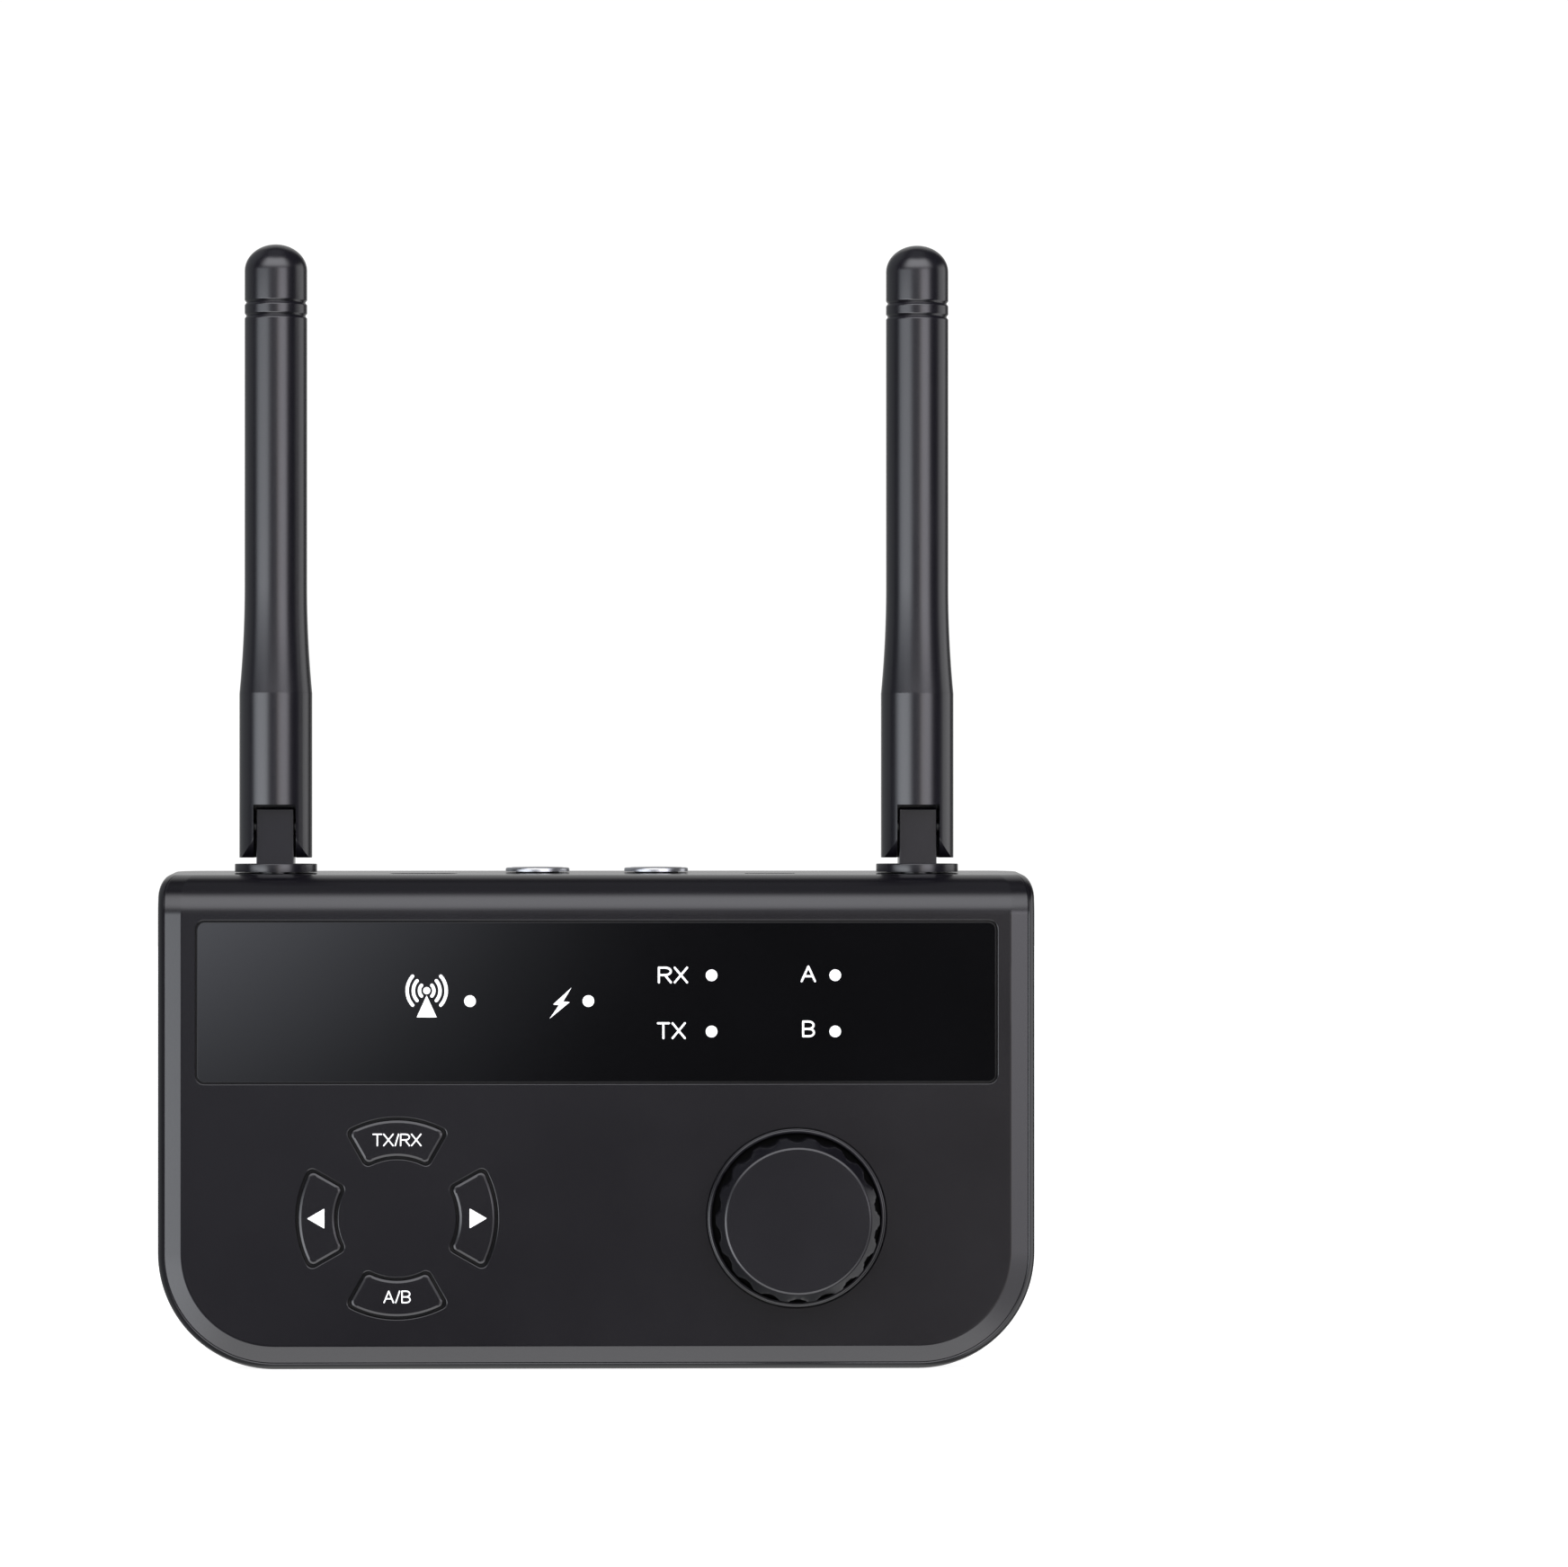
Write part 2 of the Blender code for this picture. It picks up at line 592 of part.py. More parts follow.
def make_encoder(body_look, nut_look):
    place = (KNOB_X, FRONT, KNOB_Z)
    shape = bmesh.new()
    half = ENCODER_HALF
    box(shape, (-half, COVER_WALL + GAP, -half), (half, BOARD_FRONT - CLOSE_GAP, half))
    body = add_object("encoder_body", shape, body_look, place)
    bushing = bmesh.new()
    rod(bushing, (0, 0), BUSHING_RADIUS, -2.2 * MM, 3.0 * MM)
    combine(body, "UNION", helper("encoder_bushing", bushing, place))
    bore = bmesh.new()
    rod(bore, (0, 0), SHAFT_RADIUS + FINE_GAP, -4 * MM, 5.3 * MM, count=24)
    combine(body, "DIFFERENCE", helper("encoder_bore", bore, place))

    nut = bmesh.new()
    rod(nut, (0, 0), NUT_RADIUS, -NUT_FRONT, WINDOW_POCKET - 0.1 * MM, count=6)
    nut_object = add_object("encoder_nut", nut, nut_look, place)
    thread = bmesh.new()
    rod(thread, (0, 0), BUSHING_RADIUS + 0.15 * MM, -4 * MM, 4 * MM)
    combine(nut_object, "DIFFERENCE", helper("encoder_nut_thread", thread, place))


# ---------------------------------------------------------------- antennas


def base_solids(shape):
    """Collar and stem of the swivelling base, about its own axis, heights from the hinge pin."""
    groove, neck = STEM_BOTTOM + CLIP_HEIGHT, STEM_RADIUS - CLIP_DEPTH
    under = top_height(BASE_Y) + COLLAR_LIFT
    profile = (
        (0.0, STEM_BOTTOM),
        (STEM_RADIUS, STEM_BOTTOM),
        (STEM_RADIUS, groove),
        (neck, groove),
        (neck, groove + CLIP_WIDTH),
        (STEM_RADIUS, groove + CLIP_WIDTH),
        (STEM_RADIUS, under),
        (COLLAR_RADIUS, under),
        (COLLAR_RADIUS, COLLAR_TOP),
        (0.0, COLLAR_TOP),
    )
    lathe(shape, [(radius, height - PIN_Z) for radius, height in profile], 28)


def knuckle_outline():
    """Side outline (y, z) about the pin: flat front and rear faces, rounded over the top at the rear."""
    bottom, top = COLLAR_TOP - PIN_Z - 0.5 * MM, KNUCKLE_TOP - PIN_Z
    points = [(KNUCKLE_HALF_Y, bottom)]
    points += arc((0, 0), KNUCKLE_HALF_Y, top, 0, 90, 5)
    points += [(-KNUCKLE_HALF_Y + KNUCKLE_CORNER, top), (-KNUCKLE_HALF_Y, top - KNUCKLE_CORNER)]
    points.append((-KNUCKLE_HALF_Y, bottom))
    return points


def radome_radius(z):
    """Outer radius of the upper tube: a concave flare into the sleeve, two grooves and a domed tip."""
    if z >= DOME_START:
        rise = (z - DOME_START) / (RADOME_TOP - DOME_START)
        return RADOME_RADIUS * math.sqrt(max(0.0, 1 - rise**2))
    if z < FLARE_TOP:
        fall = (FLARE_TOP - z) / (FLARE_TOP - SLEEVE_TOP)
        return RADOME_RADIUS + (SLEEVE_RADIUS - 0.04 * MM - RADOME_RADIUS) * fall**2
    return RADOME_RADIUS


def radome_profile():
    bottom = SLEEVE_TOP + 0.1 * MM
    bore, bore_top = SPIGOT_RADIUS + 0.08 * MM, DOME_START - 1.0 * MM
    points = [(0.0, bore_top), (bore, bore_top), (bore, bottom)]
    points += [(radome_radius(z), z) for z in (bottom, 96 * MM, 99.5 * MM, 103 * MM, FLARE_TOP)]
    for groove in GROOVES:
        points.append((RADOME_RADIUS, groove - GROOVE_HALF))
        points.append((RADOME_RADIUS - GROOVE_DEPTH, groove))
        points.append((RADOME_RADIUS, groove + GROOVE_HALF))
    rises = (0.0, 0.35, 0.62, 0.82, 0.95)
    dome = RADOME_TOP - DOME_START
    points += [(radome_radius(DOME_START + dome * rise), DOME_START + dome * rise) for rise in rises]
    points.append((0.0, RADOME_TOP))
    return [(radius, height - PIN_Z) for radius, height in points]


def sleeve_profile():
    bore, top = CABLE_BORE, SPIGOT_TOP
    points = (
        (bore, SLEEVE_BOTTOM),
        (SLEEVE_RADIUS, SLEEVE_BOTTOM),
        (SLEEVE_RADIUS, SLEEVE_TOP),
        (SPIGOT_RADIUS, SLEEVE_TOP),
        (SPIGOT_RADIUS, top),
        (bore, top),
    )
    return [(radius, height - PIN_Z) for radius, height in points]


def sleeve_cuts(shape):
    """Slot for the knuckle and the rounded front corners of the ears, about the pin."""
    slot_top, room = SLOT_TOP - PIN_Z, KNUCKLE_HALF_Y + 0.3 * MM
    low = SLEEVE_BOTTOM - PIN_Z - 2 * MM
    outline = [(room, low), (room, slot_top - 0.6 * MM), (room - 0.6 * MM, slot_top + 0.9 * MM)]
    outline += [(-3.3 * MM, slot_top + 0.9 * MM), (-3.7 * MM, slot_top), (-9 * MM, slot_top), (-9 * MM, low)]
    prism(shape, outline, -SLOT_HALF, SLOT_HALF, "X")


def ear_round(shape):
    """The part of the ears' front corners outside a circle about the pin."""
    outline = arc((0, 0), EAR_RADIUS, EAR_RADIUS, 180, 242, 7)
    outline += [(outline[-1][0], -9 * MM), (-9 * MM, -9 * MM), (-9 * MM, 0)]
    prism(shape, outline, -8 * MM, 8 * MM, "X")


def make_antenna(side, name, looks, meshes):
    """One antenna. The base turns about its own axis, and the rest folds about the pin."""
    swivel = empty(f"{name}_swivel", (side * ANTENNA_X, BASE_Y, PIN_Z))
    fold = empty(f"{name}_fold", (0, 0, 0), swivel)
    sleeve_place = (0, SLEEVE_Y - BASE_Y, 0)

    shape = bmesh.new()
    base_solids(shape)
    base = add_object(f"{name}_base", shape, looks["case"], (0, 0, 0), swivel)
    shape = bmesh.new()
    prism(shape, knuckle_outline(), -KNUCKLE_HALF_X, KNUCKLE_HALF_X, "X")
    combine(base, "UNION", helper(f"{name}_knuckle", shape, (0, 0, 0), swivel))
    shape = bmesh.new()
    rod(shape, (0, 0), HINGE_PIN_RADIUS + FINE_GAP, -8 * MM, 8 * MM, "X", 16)
    combine(base, "DIFFERENCE", helper(f"{name}_pin_bore", shape, (0, 0, 0), swivel))

    add_mesh(f"{name}_retaining_ring", meshes["ring"], looks["steel"], (0, 0, 0), swivel)
    add_mesh(f"{name}_hinge_pin", meshes["pin"], looks["dark_steel"], (0, 0, 0), fold)

    shape = bmesh.new()
    lathe(shape, sleeve_profile(), 32)
    sleeve = add_object(f"{name}_sleeve", shape, looks["case"], sleeve_place, fold)
    for label, build in (("slot", sleeve_cuts), ("ear_round", ear_round), ("ear_bore", ear_bore)):
        shape = bmesh.new()
        build(shape)
        combine(sleeve, "DIFFERENCE", helper(f"{name}_{label}", shape, (0, 0, 0), fold))

    add_mesh(f"{name}_radome", meshes["radome"], looks["case"], sleeve_place, fold)
    add_mesh(f"{name}_element", meshes["element"], looks["brass"], sleeve_place, fold)
    place = (side * ANTENNA_X, BASE_Y, 0)
    add_mesh(f"{name}_bushing", meshes["bushing"], looks["inner"], place)


def ear_bore(shape):
    reach = HINGE_PIN_HALF + 0.1 * MM
    rod(shape, (0, 0), HINGE_PIN_RADIUS + FINE_GAP, -reach, reach, "X", 16)


def mesh_of(name, build):
    shape = bmesh.new()
    build(shape)
    bmesh.ops.recalc_face_normals(shape, faces=shape.faces)
    mesh = bpy.data.meshes.new(name)
    shape.to_mesh(mesh)
    shape.free()
    return mesh


def turned_mesh(name, profile, count):
    return mesh_of(name, lambda shape: lathe(shape, profile, count))


def antenna_meshes():
    """Meshes that both antennas share."""
    groove = STEM_BOTTOM + CLIP_HEIGHT - PIN_Z
    ring = [(r * MM, groove + z * MM) for r, z in ((2.5, 0.15), (4.3, 0.15), (4.3, 0.75), (2.5, 0.75))]
    bushing_top = top_height(BASE_Y - 5.5 * MM) - COVER_WALL - 0.1 * MM
    bushing = (
        (STEM_RADIUS + 0.08 * MM, bushing_top),
        (5.4 * MM, bushing_top),
        (5.4 * MM, bushing_top - 1.6 * MM),
        (STEM_RADIUS + 0.08 * MM, bushing_top - 1.6 * MM),
    )
    rod_and_sheath = ((0.0, 84.0), (1.1, 84.0), (1.1, 101.0), (2.2, 103.0), (2.2, 140.0), (0.0, 140.0))
    element = [(r * MM, z * MM - PIN_Z) for r, z in rod_and_sheath]
    return {
        "ring": turned_mesh("retaining_ring", ring, 20),
        "pin": mesh_of(
            "hinge_pin",
            lambda s: rod(s, (0, 0), HINGE_PIN_RADIUS, -HINGE_PIN_HALF, HINGE_PIN_HALF, "X", 16),
        ),
        "radome": turned_mesh("radome", radome_profile(), 24),
        "element": turned_mesh("element", element, 12),
        "bushing": turned_mesh("bushing", bushing, 20),
    }


# ---------------------------------------------------------------- sockets and switch in the top wall


def usb_outline(grow):
    half = Vector((USB_SIZE.x / 2 + grow, USB_SIZE.y / 2 + grow))
    middle = Vector((USB_X, USB_Y))
    return round_rectangle(middle - half, middle + half, half.y * 0.96)


def make_jacks(ring_look, body_look):
    face = top_height(JACK_Y - JACK_RING_RADIUS)
    ring_low, ring_high = top_height(JACK_Y + JACK_RING_RADIUS) + 0.06 * MM, top_height(JACK_Y) + JACK_PROUD
    bevel = 0.3 * MM
    inner = JACK_NOSE_RADIUS + 0.1 * MM
    profile = (
        (inner, ring_low),
        (JACK_RING_RADIUS, ring_low),
        (JACK_RING_RADIUS, ring_high - bevel),
        (JACK_RING_RADIUS - bevel, ring_high),
        (inner, ring_high),
    )
    ring = turned_mesh("jack_collar", profile, 28)
    for side, name in ((-1, "left"), (1, "right")):
        place = (side * JACK_X, JACK_Y, 0)
        add_mesh(f"jack_collar_{name}", ring, ring_look, place)
        shape = bmesh.new()
        low, high = 54.0 * MM, face - COVER_WALL - GAP
        box(shape, (-3.5 * MM, depth_y(PORT_DEPTH) - JACK_Y, low), (3.5 * MM, 3.3 * MM, high))
        body = add_object(f"jack_body_{name}", shape, body_look, place)
        nose, bore = bmesh.new(), bmesh.new()
        rod(nose, (0, 0), JACK_NOSE_RADIUS, high - 1 * MM, ring_high - 0.1 * MM, "Z")
        combine(body, "UNION", helper(f"jack_nose_{name}", nose, place))
        rod(bore, (0, 0), JACK_BORE, low + 1 * MM, TOP + 5 * MM, "Z", 16)
        combine(body, "DIFFERENCE", helper(f"jack_bore_{name}", bore, place))


def make_usb(look):
    top = top_height(USB_Y - USB_SIZE.y / 2) - 0.05 * MM
    shape = bmesh.new()
    prism(shape, usb_outline(0.0), top - USB_SIZE.z, top, "Z")
    receptacle = add_object("usb_c_receptacle", shape, look)
    mouth = bmesh.new()
    prism(mouth, usb_outline(-0.3 * MM), top - USB_SIZE.z + 1 * MM, top + 1 * MM, "Z")
    combine(receptacle, "DIFFERENCE", helper("usb_mouth", mouth))
    tongue = bmesh.new()
    half, thin = 3.35 * MM, 0.35 * MM
    low, high = top - USB_SIZE.z + 0.5 * MM, top - 0.8 * MM
    box(tongue, (USB_X - half, USB_Y - thin, low), (USB_X + half, USB_Y + thin, high))
    combine(receptacle, "UNION", helper("usb_tongue", tongue))


def make_power_switch(body_look, slider_look):
    """Slide switch under the top wall. The slider rests at its left (off) end."""
    roof = top_height(SWITCH_Y - 2 * MM) - COVER_WALL - GAP
    shape = bmesh.new()
    half, rear = 4.6 * MM, 4.6 * MM
    box(shape, (SWITCH_X - half, depth_y(PORT_DEPTH), roof - 4 * MM), (SWITCH_X + half, rear, roof))
    body = add_object("power_switch_body", shape, body_look)
    slot = bmesh.new()
    half = SWITCH_SLOT + Vector((0, 0.1 * MM))
    low, high = roof - 2.2 * MM, roof + 1 * MM
    box(slot, (SWITCH_X - half.x, SWITCH_Y - half.y, low), (SWITCH_X + half.x, SWITCH_Y + half.y, high))
    combine(body, "DIFFERENCE", helper("power_switch_slot", slot))
    slider = bmesh.new()
    half = Vector((2.2 * MM, 1.0 * MM))
    middle = SWITCH_X - SWITCH_TRAVEL / 2
    box(slider, (-half.x, -half.y, roof - 2.0 * MM), (half.x, half.y, top_height(SWITCH_Y) - 0.25 * MM))
    add_object("power_switch_slider", slider, slider_look, (middle, SWITCH_Y, 0))


# ---------------------------------------------------------------- inside


def make_board(look):
    outline = ((-41, 6), (41, 6), (41, 14.5), (50, 14.5), (50, 61.5), (-50, 61.5), (-50, 14.5), (-41, 14.5))
    rear = BOARD_FRONT + BOARD_THICKNESS
    shape = bmesh.new()
    prism(shape, [(x * MM, z * MM) for x, z in outline], depth_y(BOARD_FRONT), depth_y(rear))
    board = add_object("main_board", shape, look)
    holes = bmesh.new()
    for x, z in BOARD_SCREWS:
        rod(holes, (x * MM, z * MM), 1.2 * MM, depth_y(4 * MM), depth_y(12 * MM), count=12)
    combine(board, "DIFFERENCE", helper("board_holes", holes))


def screw(shape, shank_radius, shank_length, head_radius, head_height):
    """A screw along Y, its head seat at the origin and its shank towards the front."""
    profile = (
        (0.0, shank_length),
        (shank_radius, shank_length),
        (shank_radius, 0.0),
        (head_radius, 0.0),
        (head_radius, -head_height * 0.7),
        (head_radius * 0.8, -head_height),
        (0.0, -head_height),
    )
    lathe(shape, profile, 12)
    turn_to_y(shape)


def make_screws(look):
    seat = BOARD_FRONT + BOARD_THICKNESS + CLOSE_GAP
    board_screw = mesh_of("board_screw", lambda s: screw(s, 0.7 * MM, 4.5 * MM, 1.8 * MM, 1.2 * MM))
    for i, (x, z) in enumerate(BOARD_SCREWS):
        add_mesh(f"board_screw_{i + 1}", board_screw, look, (x * MM, depth_y(seat), z * MM))
    for i, (x, z) in enumerate(CASE_SCREWS):
        seat = screw_seat(z) + CLOSE_GAP
        length = seat - 2.4 * MM
        made = mesh_of("case_screw", lambda s, reach=length: screw(s, 1.0 * MM, reach, 2.4 * MM, 1.5 * MM))
        add_mesh(f"case_screw_{i + 1}", made, look, (x * MM, depth_y(seat), z * MM))


def make_leds(look):
    front, rear = WINDOW_POCKET + 0.1 * MM, BOARD_FRONT - CLOSE_GAP
    shoulder = front + 0.4 * MM
    profile = (
        (0.0, -front),
        (0.6 * MM, -front),
        (LED_RADIUS, -shoulder),
        (LED_RADIUS, -rear),
        (0.0, -rear),
    )

    def build(shape):
        lathe(shape, profile, 12)
        turn_to_y(shape)

    led = mesh_of("indicator_led", build)
    for i, (x, z) in enumerate(LED_PLACES):
        add_mesh(f"indicator_led_{i + 1}", led, look, (x * MM, FRONT, z * MM))


def make_battery(look):
    shape = bmesh.new()
    outline = round_rectangle((-50 * MM, 0.2 * MM), (-8 * MM, 5.2 * MM), 1.5 * MM)
    prism(shape, outline, 22 * MM, 50 * MM, "Z")
    add_object("battery_pack", shape, look)


def make_shield(look):
    shape = bmesh.new()
    low, high = Vector((10, 0.0, 25)) * MM, Vector((40, 3.4, 50)) * MM
    box(shape, low, high)
    can = add_object("rf_shield", shape, look)
    hollow = bmesh.new()
    wall = 0.4 * MM
    box(hollow, (low.x + wall, low.y - 1 * MM, low.z + wall), (high.x - wall, high.y - wall, high.z - wall))
    combine(can, "DIFFERENCE", helper("rf_shield_hollow", hollow))


# ---------------------------------------------------------------- the unit


def main():
    clear_scene()
    looks = {
        "case": material("case_black", (0.022, 0.022, 0.026), 0.42),
        "window": material("window_black", (0.006, 0.006, 0.007), 0.08),
        "button": material("button_black", (0.020, 0.020, 0.023), 0.45),
        "knob": material("knob_black", (0.022, 0.022, 0.025), 0.38),
        "chrome": material("chrome", (0.62, 0.62, 0.64), 0.16, 1.0),
        "steel": material("steel", (0.45, 0.45, 0.46), 0.35, 1.0),
        "dark_steel": material("dark_steel", (0.03, 0.03, 0.033), 0.4, 1.0),
        "brass": material("brass", (0.62, 0.45, 0.18), 0.35, 1.0),
        "inner": material("inner_plastic", (0.05, 0.05, 0.055), 0.55),
        "board": material("board_green", (0.01, 0.09, 0.04), 0.45),
        "battery": material("battery_wrap", (0.10, 0.16, 0.30), 0.5),
        "led": material("led_white", (0.9, 0.9, 0.9), 0.3),
    }
    make_front_cover(looks["case"])
    make_rear_housing(looks["case"])
    make_window(looks["window"])
    make_buttons(looks["button"])
    make_tact_switches(looks["inner"])
    make_knob(looks["knob"], looks["steel"])
    make_knob_bezel(looks["case"])
    make_encoder(looks["inner"], looks["steel"])
    meshes = antenna_meshes()
    for side, name in ((-1, "antenna_left"), (1, "antenna_right")):
        make_antenna(side, name, looks, meshes)
    make_jacks(looks["chrome"], looks["inner"])
    make_usb(looks["steel"])
    make_power_switch(looks["inner"], looks["button"])
    make_board(looks["board"])
    make_screws(looks["steel"])
    make_leds(looks["led"])
    make_battery(looks["battery"])
    make_shield(looks["steel"])


main()
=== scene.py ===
"""The looks of the wireless receiver unit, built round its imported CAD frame.

X runs across the front, the front faces -Y and +Z is up. Sizes are in millimetres times MM. Places come from
the boxes of the CAD nodes, and the sizes named here are the finer ones that the boxes don't hold.
"""

import json
from functools import reduce
from math import atan2, cos, dist, pi, radians, sin, sqrt, tan

import bmesh
import bpy
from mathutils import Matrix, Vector


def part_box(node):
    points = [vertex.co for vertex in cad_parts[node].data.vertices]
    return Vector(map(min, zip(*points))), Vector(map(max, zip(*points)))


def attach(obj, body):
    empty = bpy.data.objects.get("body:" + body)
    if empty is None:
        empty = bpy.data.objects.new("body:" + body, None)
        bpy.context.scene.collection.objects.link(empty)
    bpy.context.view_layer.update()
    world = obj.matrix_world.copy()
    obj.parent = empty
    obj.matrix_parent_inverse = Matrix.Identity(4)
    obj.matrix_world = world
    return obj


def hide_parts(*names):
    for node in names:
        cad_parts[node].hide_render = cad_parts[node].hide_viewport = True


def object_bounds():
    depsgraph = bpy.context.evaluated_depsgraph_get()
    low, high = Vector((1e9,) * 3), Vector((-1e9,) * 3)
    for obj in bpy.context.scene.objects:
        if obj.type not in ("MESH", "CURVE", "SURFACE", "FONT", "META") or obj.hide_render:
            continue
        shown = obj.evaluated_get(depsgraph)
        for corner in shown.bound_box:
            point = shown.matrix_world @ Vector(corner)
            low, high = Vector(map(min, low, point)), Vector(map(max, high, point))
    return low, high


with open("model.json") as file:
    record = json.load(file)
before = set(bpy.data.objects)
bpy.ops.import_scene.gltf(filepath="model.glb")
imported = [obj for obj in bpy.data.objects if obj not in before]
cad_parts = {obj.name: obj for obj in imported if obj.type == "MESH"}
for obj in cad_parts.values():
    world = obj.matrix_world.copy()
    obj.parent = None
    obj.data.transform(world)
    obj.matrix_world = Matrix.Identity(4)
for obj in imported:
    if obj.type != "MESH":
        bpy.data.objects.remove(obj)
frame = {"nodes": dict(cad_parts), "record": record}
CAD_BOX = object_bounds()

MM = 0.001


def middle(name):
    """Centre (x, y, z) of a CAD node's box."""
    low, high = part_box(name)
    return [(a + b) / 2 for a, b in zip(low, high)]


def mm(points):
    """Points given in millimetres, as metres."""
    return [tuple(value * MM for value in point) for point in points]


# Boxes of the CAD nodes, as (lowest corner, highest corner)
WINDOW_LOW, WINDOW_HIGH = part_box("display_window")
KNOB_LOW, KNOB_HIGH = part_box("knob")
SLEEVE_LOW, SLEEVE_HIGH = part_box("antenna_right_sleeve")
BASE_LOW, BASE_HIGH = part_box("antenna_right_base")
JACK_LOW, JACK_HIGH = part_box("jack_collar_right")
USB_LOW, USB_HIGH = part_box("usb_c_receptacle")
SLIDER_LOW, SLIDER_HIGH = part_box("power_switch_slider")
LEFT_CAP, RIGHT_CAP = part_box("button_left"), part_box("button_right")

# Case
HALF_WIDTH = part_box("front_cover")[1].x
FRONT = WINDOW_LOW.y  # Y of the front face
CASE_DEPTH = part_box("rear_housing")[1].y - FRONT
TOP = 68.0 * MM  # height of the top face halfway back
TOP_SLOPE = tan(radians(1.1))  # the top face falls towards the front
BASE_DEPTH = 10.96 * MM  # depth where the slanted back meets the bottom
BACK_SLANT = radians(15.94)
KNEE_RADIUS = 21.5 * MM
KNEE_HEIGHTS = [(55.5 - 0.75 * i) * MM for i in range(13)]  # stops down the bend of the back
STRAIGHT_STOP = 32 * MM
TOP_CORNER_X, TOP_CORNER_Z, BOTTOM_CORNER = 1.8 * MM, 3.2 * MM, 16.0 * MM
FRONT_TOP_RADIUS, BACK_TOP_RADIUS, BACK_BOTTOM_RADIUS = 5.6 * MM, 1.2 * MM, 1.9 * MM
EDGE_RADIUS, EDGE_START = 2.2 * MM, radians(40)  # rounding of the front edge, which starts with a crease
FRONT_EDGE = EDGE_RADIUS * (1 - sin(EDGE_START))  # how far it reaches in across the front
BACK_EDGE, BACK_RIM = 4.0 * MM, 5.0 * MM  # rounding at the sides of the back, and where its flat starts
BAND_INSET, BAND_DEPTH = 3.3 * MM, 0.6 * MM  # shallow chamfer round the front face
CREASE_HALF, CREASE_DEPTH = 0.13 * MM, 0.07 * MM  # fine groove outside it
COVER_WALL, HOUSING_WALL = 1.75 * MM, 1.8 * MM
PARTING_GAP, PARTING_RADIUS = 0.25 * MM, 3.7 * MM
GAP_FILL_INSET, GAP_FILL_GRIP = 0.7 * MM, 0.01 * MM  # depth of the near-black fill in the parting gap, which paints the gap's shade, and how far it enters each side
POCKET = 1.05 * MM  # depth of the window's and the bezel's pockets
LIP = ((0.0, 0.07), (0.02, 0.035), (0.09, 0.0))  # bevel of the openings' edges: (outward, depth) in mm
BELOW, BEHIND, BEYOND = -5.0 * MM, 30.0 * MM, 80.0 * MM  # places outside the case, where cutters end
REACH = 4 * MM  # how far a cutter goes above and below the top
BOSSES = (("board", 0.85, 2.2, 6.7), ("case", 1.15, 3.0, 4.0))  # screw; its boss's bore, radius and end in mm
SCREW_BORE, SCREW_WELL, SCREW_SEAT = 1.4 * MM, 2.7 * MM, 1.5 * MM  # radii of the hole, height of the head

# Window, marks and lamps
WINDOW_CORNER, WINDOW_GAP, WINDOW_EDGE = 1.0 * MM, 0.29 * MM, 0.06 * MM
LAMP_RADIUS = 0.82 * MM
LAMPS = [f"indicator_led_{i + 1}" for i in range(6)]
PRINT_HEIGHT = 0.015 * MM

# Buttons
SECTOR_OUTER, SECTOR_INNER = 13.88 * MM, 8.1 * MM
SECTOR_HALF, SECTOR_WIDEN = radians(29.5), 0.33 * MM  # the sides lie this far outside two rays
SECTOR_CORNER = 0.95 * MM
CAP_CORNER = SECTOR_CORNER * 0.75
SECTOR_GAP = 0.42 * MM
BUTTON_FLANGE = 0.7 * MM
BUTTON_REAR, PLUNGER_REAR = 3.4 * MM, 4.5 * MM  # depths behind the front face
PLUNGER_RADIUS = 1.4 * MM
CAP_EDGE = ((0.36, 0.0), (0.17, 0.06), (0.05, 0.12), (0.0, 0.2))  # (inset, depth) in mm
BUTTONS_X = (LEFT_CAP[0].x + RIGHT_CAP[1].x) / 2
BUTTONS_Z = (LEFT_CAP[0].z + LEFT_CAP[1].z) / 2
BUTTON_NAMES = ("button_right", "button_up", "button_left", "button_down")

# Knob
KNOB_X, _, KNOB_Z = middle("knob")
KNOB_RADIUS = 11.15 * MM
KNOB_CHAMFER = 1.15 * MM
KNOB_WEB = FRONT - 2.6 * MM  # Y of the floor of the knob's hollow
HOLLOW_RADIUS, SHAFT_RADIUS, SHAFT_DEPTH = 8.6 * MM, 3.06 * MM, 4.28 * MM
FLUTES, FLUTE_DEPTH, FLUTE_HALF = 18, 0.5 * MM, 1.35 * MM
KNOB_HOLE, SHAFT_HOLE = 12.36 * MM, 3.9 * MM

# Antennas
_, BASE_Y, PIN_Z = middle("antenna_right_hinge_pin")
ANTENNA_X, SLEEVE_Y, _ = middle("antenna_right_radome")
COLLAR_RADIUS, COLLAR_TOP = 5.7 * MM, 69.3 * MM
STEM_RADIUS = 3.0 * MM
RING_GROOVE, RING_LOW, RING_HIGH = 0.6 * MM, 0.8 * MM, 1.7 * MM  # groove of the stem: depth, heights in it
KNUCKLE_HALF_X, KNUCKLE_HALF_Y = 2.585 * MM, 2.97 * MM
KNUCKLE_CORNER = 0.4 * MM
PIN_RADIUS, PIN_REACH = 1.06 * MM, 4.3 * MM  # reach of its bore from the sleeve's axis
SLEEVE_RADIUS, SLEEVE_TOP = 5.05 * MM, 93.0 * MM
SLOT_HALF, SLOT_TOP = 2.94 * MM, 77.5 * MM
SLOT_RISE = 0.9 * MM  # the slot is this much higher behind the step in its roof
EAR_RADIUS = 4.87 * MM
SPIGOT_RADIUS, CABLE_BORE = 3.1 * MM, 1.3 * MM
RADOME_RADIUS = 4.33 * MM
RADOME_JOINT = 0.005 * MM  # half of the gap between the sleeve and the radome
FLARE_TOP, DOME_START = 108.0 * MM, 151.6 * MM
RADOME_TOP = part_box("antenna_right_radome")[1].z - 0.12 * MM
GROOVES = (145.33 * MM, 147.18 * MM)
